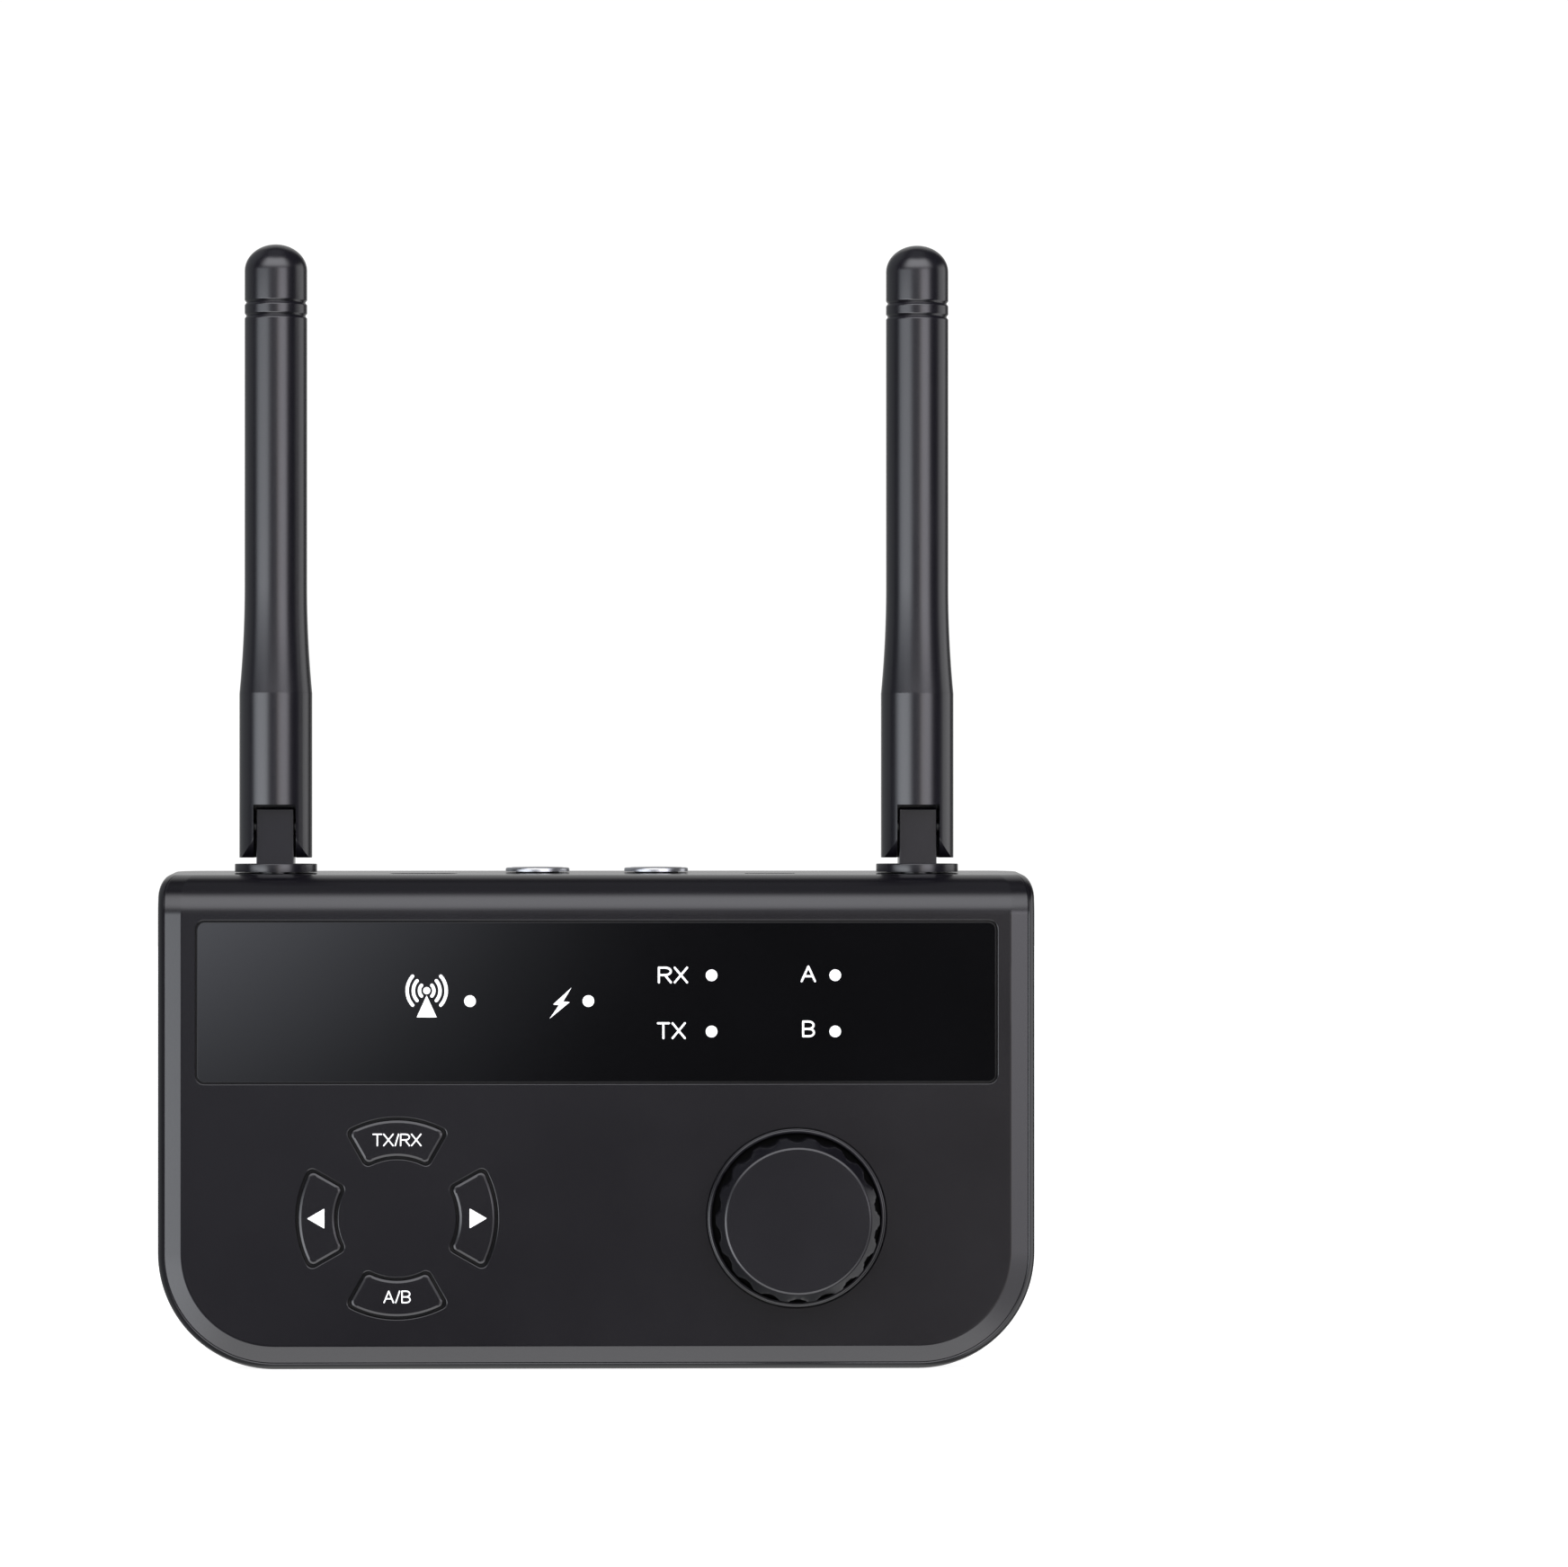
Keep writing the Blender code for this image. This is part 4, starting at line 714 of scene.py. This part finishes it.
def letter(name, x, z, width, height):
    """Strokes of a capital letter, its box given in mm."""
    bowl = arc((x + width * 0.55, z + height * 0.75), width * 0.45, pi / 2, -pi / 2, 8, height * 0.25)
    low_bowl = [(px + (0.04 * width if 0 < i < 8 else 0), pz - height * 0.5)
                for i, (px, pz) in enumerate(bowl)]
    mid, top = z + height / 2, z + height
    return {
        "T": [[(x, top), (x + width, top)], [(x + width / 2, top), (x + width / 2, z)]],
        "X": [[(x, top), (x + width, z)], [(x, z), (x + width, top)]],
        "R": [[(x, z), (x, top), *bowl, (x, mid)], [(x + width * 0.5, mid), (x + width, z)]],
        "A": [[(x, z), (x + width / 2, top), (x + width, z)],
              [(x + width * 0.19, z + height * 0.34), (x + width * 0.81, z + height * 0.34)]],
        "B": [[(x, z), (x, top), *bowl, (x, mid)], [(x, mid), *low_bowl, (x, z)]],
        "/": [[(x, z), (x + width, top)]],
    }[name]


def write(bm, text, low, height, widths, gap, weight, y):
    """Letters of the widths given, side by side from a low corner (x, z) in mm."""
    at = low[0] + weight / 2
    for character, width in zip(text, widths):
        for path in letter(character, at, low[1] + weight / 2, width - weight, height - weight):
            stroke(bm, path, weight, y)
        at += width + gap


def window_marks(bm):
    """The broadcast symbol, the lightning bolt and the letters, placed in mm."""
    y = FRONT
    x, z = -23.31, 52.0  # centre of the broadcast symbol's waves
    prism(bm, circle((x * MM, z * MM), 0.49 * MM, 32), y + PRINT_HEIGHT, y - PRINT_HEIGHT)
    half = 44  # degrees that a wave spreads to either side
    for radius in (1.05, 1.95, 2.85):
        for side in (0, 180):
            ends = radians(side - half), radians(side + half)
            stroke(bm, arc((x, z), radius * 0.94, *ends, 12, radius), 0.46, y)
    patch(bm, ((x, 51.35), (x - 1.38, 48.34), (x + 1.38, 48.34)), y)
    bolt = ((-3.48, 52.4), (-4.62, 50.5), (-3.72, 50.42), (-6.5, 48.12), (-5.2, 50.0), (-6.0, 50.1))
    patch(bm, bolt, y, 0.06)
    for text, low, height, widths, gap in (
        ("RX", (8.36, 52.97), 2.3, (1.93, 1.98), 0.24),
        ("TX", (8.22, 45.33), 2.32, (1.8, 1.96), 0.22),
        ("A", (27.95, 53.12), 2.3, (2.12,), 0),
        ("B", (28.15, 45.57), 2.3, (1.72,), 0),
    ):
        write(bm, text, low, height, widths, gap, 0.285, y)


def make_window():
    def pane(bm):
        soft_prism(bm, window_outline, FRONT, WINDOW_HIGH.y, WINDOW_EDGE, ends=(True, False))

    add_piece("window_pane", pane, "window_black", node="display_window")
    add_piece("window_marks", window_marks, "window_black", look=GLOWING_PRINT, weighted=False)
    for i, lamp in enumerate(LAMPS):
        x, _, z = middle(lamp)

        def dome(bm):
            profile = ((0.0, 0.012), (0.4, 0.012), (0.72, 0.010), (0.79, 0.006), (0.81, -0.01), (0.0, -0.01))
            lathe(bm, mm(profile), 48, (x, z), FRONT)

        add_piece(f"lamp_dot_{i + 1}", dome, "led_white", weighted=False)


def button_marks(bm, name):
    x, z, y = BUTTONS_X / MM, BUTTONS_Z / MM, FRONT
    if name == "button_up":
        write(bm, "TX/RX", (x - 3.36, z + 9.89), 1.74, (1.34, 1.46, 0.64, 1.38, 1.46), 0.11, 0.185, y)
    elif name == "button_down":
        write(bm, "A/B", (x - 1.86, z - 11.61), 1.74, (1.46, 0.72, 1.24), 0.14, 0.185, y)
    else:
        side = 1 if name == "button_right" else -1
        tip, foot, half = x + side * 12.3, x + side * 9.95, 1.37
        patch(bm, ((tip, z), (foot, z + half), (foot, z - half)), y, 0.12)


def make_buttons():
    waist, rear = depth_y(COVER_WALL + 0.3 * MM), depth_y(BUTTON_REAR)
    rings = [(-SECTOR_GAP - inset * MM, depth_y(depth * MM), CAP_CORNER) for inset, depth in CAP_EDGE]
    rings += [(-SECTOR_GAP, waist, CAP_CORNER), (BUTTON_FLANGE, waist, SECTOR_CORNER),
              (BUTTON_FLANGE, rear, SECTOR_CORNER)]
    centre = (SECTOR_OUTER + SECTOR_INNER) / 2
    for i, name in enumerate(BUTTON_NAMES):
        turn = i * pi / 2

        def cap(bm):
            loft(bm, [[(x, y, z) for x, z in sector_at(turn, grow, corner)] for grow, y, corner in rings])
            plunger = (BUTTONS_X + centre * cos(turn), BUTTONS_Z + centre * sin(turn))
            prism(bm, circle(plunger, PLUNGER_RADIUS, 32), rear - 0.2 * MM, depth_y(PLUNGER_REAR))

        add_piece(f"{name}_cap", cap, "button_black", name, name, crease=15)
        add_piece(f"{name}_mark", lambda s: button_marks(s, name), "button_black", name,
                  look=GLOWING_PRINT, weighted=False)


# ---- knob


def flute_ring(radius, y, count=14):
    """A ring of shallow scallops, as (x, y, z) about the knob's axis."""
    points = []
    pitch = 2 * pi / FLUTES
    for i in range(FLUTES * count):
        angle = pitch * i / count
        from_flute = (i % count / count - 0.5) * pitch * KNOB_RADIUS
        share = min(1.0, abs(from_flute) / FLUTE_HALF)
        reach = min(radius, KNOB_RADIUS - FLUTE_DEPTH * (1 - share**2))
        points.append((KNOB_X + reach * cos(angle), y, KNOB_Z + reach * sin(angle)))
    return points


def knob_shape(bm):
    """The grip from its rear edge over the chamfer to the face, as (radius, y)."""
    face, rear, brow = KNOB_LOW.y, KNOB_HIGH.y, KNOB_RADIUS - KNOB_CHAMFER
    levels = [(KNOB_RADIUS - 0.2 * MM, rear), (KNOB_RADIUS, rear - 0.2 * MM),
              (KNOB_RADIUS, face + KNOB_CHAMFER + 0.07 * MM),
              (KNOB_RADIUS - 0.02 * MM, face + KNOB_CHAMFER - 0.02 * MM)]
    for share in (0.25, 0.5, 0.75, 0.93):
        levels.append((KNOB_RADIUS - KNOB_CHAMFER * share, face + KNOB_CHAMFER * (1 - share)))
    lip = mm(((0.01, 0.08), (0.06, 0.056), (0.25, 0.0)))
    levels += [(brow - inset, face + depth) for inset, depth in lip]
    loft(bm, [flute_ring(radius, y) for radius, y in levels])


def knob_hollow(bm):
    mouth, floor, blind = -KNOB_HIGH.y - 3 * MM, -KNOB_WEB, SHAFT_DEPTH - KNOB_WEB
    profile = [(0.0, blind), (SHAFT_RADIUS, blind), (SHAFT_RADIUS, floor), (HOLLOW_RADIUS, floor),
               (HOLLOW_RADIUS, mouth), (0.0, mouth)]
    lathe(bm, profile, 64, (KNOB_X, KNOB_Z), 0)


def bezel_shape(bm):
    """A ring with a raised bead, as (radius, height above the front face) in mm."""
    bead, half, crest = 11.84, 0.26, 0.14
    outer = [(12.24, -1.0), (12.24, -0.16), (12.2, -0.1), (12.12, -0.08)]
    crown = arc((bead, 0), half, 0, pi * 11 / 12, 11, crest)
    inner = [(bead - half, 0.0), (bead - half, -1.0)]
    lathe(bm, mm(outer + crown + inner), 160, (KNOB_X, KNOB_Z), FRONT)


def gap_shade_ring_shape(bm):
    """Near-black ring at the bottom of the gap round the knob, which paints the gap's shade, as (radius,
    height above the front face) in mm.
    """
    profile = ((9.0, -0.98), (11.6, -0.98), (11.6, -0.7), (11.5, -0.62), (9.1, -0.62), (9.0, -0.7))
    lathe(bm, mm(profile), 96, (KNOB_X, KNOB_Z), FRONT)


def make_knob():
    hollow = ((knob_hollow,),)
    add_piece("knob_grip", knob_shape, "knob_black", "knob", "knob", hollow, crease=15)
    add_piece("knob_ring", bezel_shape, "knob_black", node="knob_bezel", crease=40, weighted=False)
    # A near-black ring in the gap round the knob, which paints the shade of the gap.
    add_piece("knob_gap_shade_ring", gap_shade_ring_shape, "knob_black", look=GAP_SHADE)


# ---- antennas


def radome_radius(z):
    """Outer radius of the upper tube: a concave flare into the sleeve and a domed tip."""
    if z >= DOME_START:
        rise = (z - DOME_START) / (RADOME_TOP - DOME_START)
        return RADOME_RADIUS * sqrt(max(0.0, 1 - rise**2))
    if z < FLARE_TOP:
        fall = (FLARE_TOP - z) / (FLARE_TOP - SLEEVE_TOP)
        return RADOME_RADIUS + (SLEEVE_RADIUS - 0.01 * MM - RADOME_RADIUS) * fall**2
    return RADOME_RADIUS


def radome_shape(bm, x):
    bottom, bore, roof = SLEEVE_TOP + RADOME_JOINT, SPIGOT_RADIUS + 0.08 * MM, DOME_START - 1.0 * MM
    points = [(0.0, roof), (bore, roof), (bore, bottom)]
    points += [(radome_radius(z), z) for z in (bottom + (FLARE_TOP - bottom) * i / 24 for i in range(25))]
    for groove in GROOVES:
        for share in (-1.25, -1.0, -0.7, -0.35, 0.0, 0.35, 0.7, 1.0, 1.25):
            dip = GROOVE_DEPTH * (1 - min(1.0, abs(share))) ** 0.9
            points.append((RADOME_RADIUS - dip, groove + share * GROOVE_HALF))
    dome, steps = RADOME_TOP - DOME_START, 20
    heights = [DOME_START + dome * sin(pi / 2 * i / steps) for i in range(steps)]
    points += [(radome_radius(z), z) for z in heights] + [(0.0, RADOME_TOP)]
    lathe(bm, points, 112, (x, SLEEVE_Y))


def sleeve_shape(bm, x):
    low, step, top = SLEEVE_LOW.z, SLEEVE_TOP - RADOME_JOINT, SLEEVE_HIGH.z
    profile = [(CABLE_BORE, low, 0), (SLEEVE_RADIUS, low, 0.1 * MM), (SLEEVE_RADIUS, step, 0.015 * MM),
               (SPIGOT_RADIUS, step, 0), (SPIGOT_RADIUS, top, 0.2 * MM), (CABLE_BORE, top, 0)]
    lathe(bm, soften(profile), 112, (x, SLEEVE_Y))


def sleeve_slot(bm, x):
    """Slot for the knuckle, open at the front and the bottom."""
    low, roof = SLEEVE_LOW.z - 2 * MM, SLOT_TOP + SLOT_RISE
    back, front = BASE_Y + (KNUCKLE_HALF_Y + 0.3 * MM), BASE_Y - 9 * MM
    points = [(back, low, 0), (back, roof, 0.8 * MM), (BASE_Y - 3.3 * MM, roof, 0.4 * MM),
              (BASE_Y - 3.7 * MM, SLOT_TOP, 0.2 * MM), (front, SLOT_TOP, 0), (front, low, 0)]
    prism(bm, soften(points), x - SLOT_HALF, x + SLOT_HALF, "X")


def ear_round(bm, x):
    """What is cut off the ears to round their lower front corners, as the sleeve folds forward."""
    outline = arc((BASE_Y, PIN_Z), EAR_RADIUS, pi, radians(242), 24)
    low, front = PIN_Z - 9 * MM, BASE_Y - 9 * MM
    outline += [(outline[-1][0], low), (front, low), (front, PIN_Z)]
    prism(bm, outline, x - 8 * MM, x + 8 * MM, "X")


def pin_bore(bm, x, half):
    prism(bm, circle((BASE_Y, PIN_Z), PIN_RADIUS, 48), x - half, x + half, "X")


def bevel(made, width):
    """Rounds the sharp edges of a carved piece."""
    modifier = made.modifiers.new("bevel", "BEVEL")
    modifier.width, modifier.segments, modifier.limit_method = width, 2, "ANGLE"
    modifier.angle_limit = radians(40)
    freeze(made)


def collar_shape(bm, x):
    """Collar on a stem, which has a groove for the retaining ring near its end."""
    end, under, waist = BASE_LOW.z, top_height(BASE_Y) + 0.13 * MM, STEM_RADIUS - RING_GROOVE
    profile = [(0.0, end, 0), (STEM_RADIUS, end, 0.3 * MM), (STEM_RADIUS, end + RING_LOW, 0),
               (waist, end + RING_LOW, 0), (waist, end + RING_HIGH, 0), (STEM_RADIUS, end + RING_HIGH, 0),
               (STEM_RADIUS, under, 0), (COLLAR_RADIUS, under, 0.03 * MM),
               (COLLAR_RADIUS, COLLAR_TOP, 0.14 * MM), (0.0, COLLAR_TOP, 0)]
    lathe(bm, soften(profile, closed=False), 112, (x, BASE_Y))


def knuckle_shape(bm, x):
    """Flat front and rear faces, rounded over the top at the rear, with softened side edges."""
    bottom, top = COLLAR_TOP - 0.5 * MM, BASE_HIGH.z

    def outline(grow):
        half, crown = KNUCKLE_HALF_Y + grow, top - PIN_Z + grow
        corner = (BASE_Y - half + KNUCKLE_CORNER, PIN_Z + crown - KNUCKLE_CORNER)
        points = [(BASE_Y + half, bottom)] + arc((BASE_Y, PIN_Z), half, 0, pi / 2, 16, crown)
        points += arc(corner, KNUCKLE_CORNER, pi / 2, pi, 6)
        return points + [(BASE_Y - half, bottom)]

    soft_prism(bm, outline, x - KNUCKLE_HALF_X, x + KNUCKLE_HALF_X, 0.12 * MM, "X", 3)


def make_antennas():
    for side, name in ((-1, "antenna_left"), (1, "antenna_right")):
        x, slot, base, mast = side * ANTENNA_X, "antenna_black", f"{name}_base", f"{name}_mast"
        add_piece(f"{name}_collar", lambda s: collar_shape(s, x), slot, base, base, (
            (lambda s: knuckle_shape(s, x), "UNION"),
            (lambda s: pin_bore(s, x, 8 * MM),),
        ))
        barrel = solid(f"{name}_barrel", lambda s: sleeve_shape(s, x))
        carve(barrel, lambda s: sleeve_slot(s, x))
        carve(barrel, lambda s: ear_round(s, x))
        carve(barrel, lambda s: pin_bore(s, x, PIN_REACH))
        bevel(barrel, 0.07 * MM)
        finish_piece(barrel, slot, mast, f"{name}_sleeve")
        add_piece(f"{name}_tube", lambda s: radome_shape(s, x), slot, mast, f"{name}_radome",
                  crease=40, weighted=False)


# ---- sockets, switch and screws


def make_jacks():
    floor, crown, shoulder = JACK_LOW.z, JACK_HIGH.z, JACK_HIGH.z - 0.12 * MM
    rim = [(JACK_RIM, floor, 0), (JACK_RADIUS, floor, 0), (JACK_RADIUS, crown, 0.32 * MM),
           (JACK_RIM, crown, 0.06 * MM)]
    crest = arc((3.38 * MM, shoulder), 0.32 * MM, 0, pi, 12, 0.22 * MM)
    bead = [(BEAD_INNER, floor), (3.7 * MM, floor), *crest, (BEAD_INNER, shoulder)]
    for side, name in ((-1, "left"), (1, "right")):
        centre, body = (side * JACK_X, JACK_Y), f"jack_body_{name}"
        low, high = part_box(body)

        def nose(bm):
            step, foot, outer = TOP - 2.5 * MM, low.z + 1 * MM, 2.6 * MM
            profile = [(JACK_BORE, foot, 0), (outer, foot, 0), (outer, step, 0), (JACK_NOSE, step, 0),
                       (JACK_NOSE, high.z, 0.12 * MM), (JACK_BORE, high.z, 0.3 * MM)]
            lathe(bm, soften(profile), 72, centre)

        add_piece(f"jack_rim_{name}", lambda s: lathe(s, soften(rim), 96, centre), "chrome",
                  node=f"jack_collar_{name}", look=COLLAR_METAL, weighted=False)
        add_piece(f"jack_bead_{name}", lambda s: lathe(s, bead, 96, centre), "chrome", weighted=False)
        add_piece(f"jack_mouth_{name}", nose, "inner_plastic", node=body, weighted=False)
        add_piece(f"jack_block_{name}", lambda s: jack_block(s, centre, low, high), "inner_plastic")
        add_piece(f"jack_contact_{name}", lambda s: jack_contact(s, centre), "brass")


def jack_block(bm, centre, low, high):
    """The socket's body round its bore."""
    roof = TOP - 2.6 * MM
    outline = round_box((low.x, low.y), (high.x, high.y), 0.5 * MM, 7)
    hole = circle(centre, 2.7 * MM, len(outline))
    start = min(range(len(outline)), key=lambda i: -outline[i][0] - outline[i][1])
    outline = outline[start:] + outline[:start]
    turn = round(len(hole) / 8)
    hole = hole[turn:] + hole[:turn]
    levels = ((outline, low.z), (outline, roof), (hole, roof), (hole, low.z))
    rows = loft(bm, [[(*point, z) for point in ring] for ring, z in levels], caps=False)
    skin(bm, (rows[3], rows[0]))


def jack_contact(bm, centre):
    """A leaf spring that bulges into the bore."""
    leaf = mm(((-1.85, 58.0), (-1.75, 60.0), (-1.25, 61.6), (-1.75, 63.4), (-1.85, 64.5)))
    path = [(centre[1] + y, z) for y, z in leaf]
    back = [(y - 0.12 * MM, z) for y, z in path[::-1]]
    prism(bm, path + back, centre[0] - 0.5 * MM, centre[0] + 0.5 * MM, "X")


def make_usb():
    top, bottom, tip = USB_HIGH.z, USB_LOW.z, USB_HIGH.z - 0.8 * MM

    def shell(bm):
        levels = [(0.0, bottom), (0.0, top - 0.12 * MM), (-0.05 * MM, top - 0.03 * MM), (-0.13 * MM, top),
                  (-USB_WALL + 0.06 * MM, top - 0.02 * MM), (-USB_WALL, top - 0.12 * MM),
                  (-USB_WALL, bottom + 1 * MM)]
        loft(bm, [[(*p, z) for p in usb_outline(grow)] for grow, z in levels])

    def tongue(bm):
        low, high = (USB_X - TONGUE_HALF, USB_Y - TONGUE_THIN), (USB_X + TONGUE_HALF, USB_Y + TONGUE_THIN)
        outline = grown_box(low, high, 0.12 * MM, 3)
        soft_prism(bm, outline, bottom + 1.2 * MM, tip, 0.1 * MM, "Z", 3, (False, True))

    def contacts(bm):
        half_x, half_y = 0.13 * MM, 0.04 * MM
        for side in (-1, 1):
            for i in range(12):
                x, y = USB_X + (i - 5.5) * 0.5 * MM, USB_Y + side * TONGUE_THIN
                outline = round_box((x - half_x, y - half_y), (x + half_x, y + half_y), 0.03 * MM, 2)
                prism(bm, outline, tip - 3.6 * MM, tip - 0.35 * MM, "Z")

    add_piece("usb_port_shell", shell, "steel", node="usb_c_receptacle", crease=35)
    add_piece("usb_tongue", tongue, "inner_plastic")
    add_piece("usb_contacts", contacts, "brass")


def make_switch():
    low, high = SLIDER_LOW, SLIDER_HIGH

    def cap(bm):
        outline = grown_box(low, high, SWITCH_CORNER, 4)
        soft_prism(bm, outline, low.z, high.z, 0.15 * MM, "Z", 4, (False, True))

    def grooves(bm):
        half, above = 0.2 * MM, high.z + 0.5 * MM
        for i in range(5):
            x = (low.x + high.x) / 2 + (i - 2) * 0.7 * MM
            profile = [(x - half, above), (x - half, high.z), (x, high.z - 0.3 * MM), (x + half, high.z),
                       (x + half, above)]
            prism(bm, profile, low.y - 1 * MM, high.y + 1 * MM)

    name = "power_switch_slider"
    add_piece("power_switch_cap", cap, "button_black", name, name, ((grooves,),))


def make_case_screws():
    """Round-headed screws with a cross recess, at the bottom of the housing's counterbores."""
    for i in range(4):
        x, z, seat = screw_place(i)
        low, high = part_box(f"case_screw_{i + 1}")
        tip, top = -low.y, -high.y
        shank, point, head = 1.0 * MM, 0.6 * MM, 2.4 * MM
        profile = [(0.0, tip, 0), (point, tip, 0.2 * MM), (shank, tip - 0.6 * MM, 0.2 * MM),
                   (shank, -seat, 0), (head, -seat, 0.12 * MM), (head, top + 0.5 * MM, 0.7 * MM),
                   (1.5 * MM, top, 0.6 * MM), (0.0, top, 0)]

        def body(bm):
            lathe(bm, soften(profile, 6, False), 64, (x, z), 0)

        def cross(bm):
            """Tapered cross recess."""
            rings = []
            for stretch, widen, y in ((1.0, 1.0, 0.3 * MM - top), (0.45, 0.75, -top - 1.0 * MM)):
                a, b = 1.25 * MM * stretch, 0.24 * MM * widen
                plus = ((a, b), (b, b), (b, a), (-b, a), (-b, b), (-a, b),
                        (-a, -b), (-b, -b), (-b, -a), (b, -a), (b, -b), (a, -b))
                rings.append([(x + px, y, z + pz) for px, pz in plus])
            loft(bm, rings)

        cuts = ((cross,),)
        add_piece(f"cross_screw_{i + 1}", body, "steel", "case", f"case_screw_{i + 1}", cuts)


# ---- materials of the CAD nodes that stay


def dress_cad_nodes():
    slots = {part["node"]: part["material_slot"] for part in frame["record"]["subparts"]}
    for name, node in frame["nodes"].items():
        node.data.materials.clear()
        node.data.materials.append(LOOKS[slots[name]])


# ---- studio


def strip(tree, around, height, sides, levels, soft):
    """A soft-edged light in the sky between two angles round the object and two heights, in degrees."""
    parts = []
    for value, (low, high), edge in ((around, sides, soft[0]), (height, levels, soft[1])):
        parts.append(tree.remap(value, low - edge, low + edge, smooth=True))
        parts.append(tree.remap(value, high - edge, high + edge, 1.0, 0.0, smooth=True))
    return reduce(lambda a, b: tree.math("MULTIPLY", a, b), parts)


# (angles round, 0 at the camera and + to the right), (heights), (soft edges), colour, strength
STRIPS = (
    ((-71, -23), (-26, 6), (10, 6), (0.95, 1.0, 1.07), 3.2),
    ((-60, -21), (-28, -1), (8, 4), (1.0, 1.0, 1.02), 2.0),
    ((13, 43), (-1, 9), (8, 5), (1.01, 0.985, 1.07), 4.4),
    ((13, 43), (-26, -1), (8, 5), (1.0, 0.99, 1.03), 1.6),
    ((5.5, 16), (-10, 6), (1.5, 3), (1.07, 1.0, 0.94), 1.2),
    ((-18, 7), (2.5, 9), (5, 1.5), (1.0, 1.0, 1.02), 0.6),
    ((84, 126), (-64, 20), (8, 6), (1.0, 1.0, 1.02), 1.25),
    ((-50, 50), (18, 60), (16, 10), (0.99, 0.99, 1.04), 3.5),
    ((-34, 34), (-58, -23), (10, 4), (1.0, 1.0, 1.02), 3.1),
    ((-145, -88), (-60, 60), (10, 10), (0.95, 1.0, 1.05), 0.3),
    ((-200, 200), (70, 100), (6, 6), (0.97, 1.0, 1.03), 0.22),
    ((-200, 200), (-100, -62), (8, 8), (0.97, 1.0, 1.03), 0.4),
)
# Glow high on the left that the window mirrors: centre, outer radius, width of its fade, light
GLOW_CENTRE, GLOW_REACH, GLOW_FADE, GLOW = (-5.0, 2.0), 6.55, 4.0, (3.0, 3.1, 3.45)
GLOW_SIDES, GLOW_LEVELS, GLOW_SOFT = (-5.2, 4.0), (-3.4, 0.6), (0.7, 0.7)
# Light behind the object: the angles round over which it grows and the heights over which it fades
BACK_SIDES, BACK_LEVELS, BACK_LIGHT, AMBIENT = (140, 165), (44, 62), 0.6, 0.05


def make_sky():
    """The studio's lights, painted into the world. The camera itself sees plain white round the floor."""
    world = bpy.data.worlds.new("studio")
    bpy.context.scene.world = world
    tree = Tree(world)
    tree.nodes.clear()
    direction = tree.add("ShaderNodeTexCoord", out="Generated")
    split = tree.nodes.new("ShaderNodeSeparateXYZ")
    tree.put(split.inputs[0], direction)
    away = tree.math("MULTIPLY", split.outputs["Y"], -1.0)
    around = tree.math("DEGREES", tree.math("ARCTAN2", split.outputs["X"], away))
    height = tree.math("DEGREES", tree.math("ARCSINE", split.outputs["Z"]))
    lights = []
    for sides, levels, soft, colour, power in STRIPS:
        share = strip(tree, around, height, sides, levels, soft)
        lights.append(tree.vector("MULTIPLY", share, [c * power for c in colour]))
    squares = [tree.math("POWER", tree.math("ABSOLUTE", tree.math("SUBTRACT", angle, centre)), 2.0)
               for angle, centre in zip((around, height), GLOW_CENTRE)]
    distance = tree.math("SQRT", tree.math("ADD", *squares))
    near = tree.math("POWER", tree.remap(distance, GLOW_REACH - GLOW_FADE, GLOW_REACH, 1.0, 0.0), 2.0)
    share = strip(tree, around, height, GLOW_SIDES, GLOW_LEVELS, GLOW_SOFT)
    lights.append(tree.vector("MULTIPLY", tree.math("MULTIPLY", near, share), GLOW))
    back = tree.remap(tree.math("ABSOLUTE", around), *BACK_SIDES, 0.0, BACK_LIGHT, smooth=True)
    back = tree.math("MULTIPLY", back, tree.remap(height, *BACK_LEVELS, 1.0, 0.0, smooth=True))
    lights.append(tree.math("ADD", back, AMBIENT))
    total = reduce(lambda a, b: tree.vector("ADD", a, b), lights)
    lit = tree.add("ShaderNodeBackground", {"Color": total, "Strength": 1.0})
    white = tree.add("ShaderNodeBackground", {"Color": (1, 1, 1, 1), "Strength": 1.05})
    seen = tree.add("ShaderNodeLightPath", out="Is Camera Ray")
    mixed = tree.add("ShaderNodeMixShader", {0: seen, 1: lit, 2: white})
    output = tree.nodes.new("ShaderNodeOutputWorld")
    tree.put(output.inputs["Surface"], mixed)


def make_floor():
    """A pale floor that glows a little, so that it meets the white round it, and lights nothing."""
    top = CAD_BOX[0].z
    floor = solid("floor", lambda s: prism(s, circle((0, 0), 3.0, 128), top - 20 * MM, top, "Z"))
    floor.data.materials.append(material(
        "pale_floor", ((0.34,) * 3, (0.36,) * 3), (0.7, 0.8), (300.0, 0.02), 3.0,
        emission_color=(1, 1, 1, 1), emission_strength=0.93,
    ))
    floor.visible_glossy = False
    floor.visible_diffuse = False


def make_camera():
    view = bpy.data.cameras.new("camera")
    view.sensor_width = 36.0
    view.lens = 36.0 * 8000 / 1744  # one metre away, eight pixels of the 1744 cover a millimetre
    view.clip_start, view.clip_end = 0.05, 20.0
    camera = bpy.data.objects.new("camera", view)
    bpy.context.scene.collection.objects.link(camera)
    camera.location = (0.0, SLEEVE_Y - 1.0, 77.2 * MM)
    camera.rotation_euler = (radians(90.1853), 0.0, radians(-1.4903))
    bpy.context.scene.camera = camera
    bpy.context.scene.view_settings.view_transform = "Standard"


make_sky()
make_floor()
make_camera()
dress_cad_nodes()
make_case()
make_window()
make_buttons()
make_knob()
make_antennas()
make_jacks()
make_usb()
make_switch()
make_case_screws()
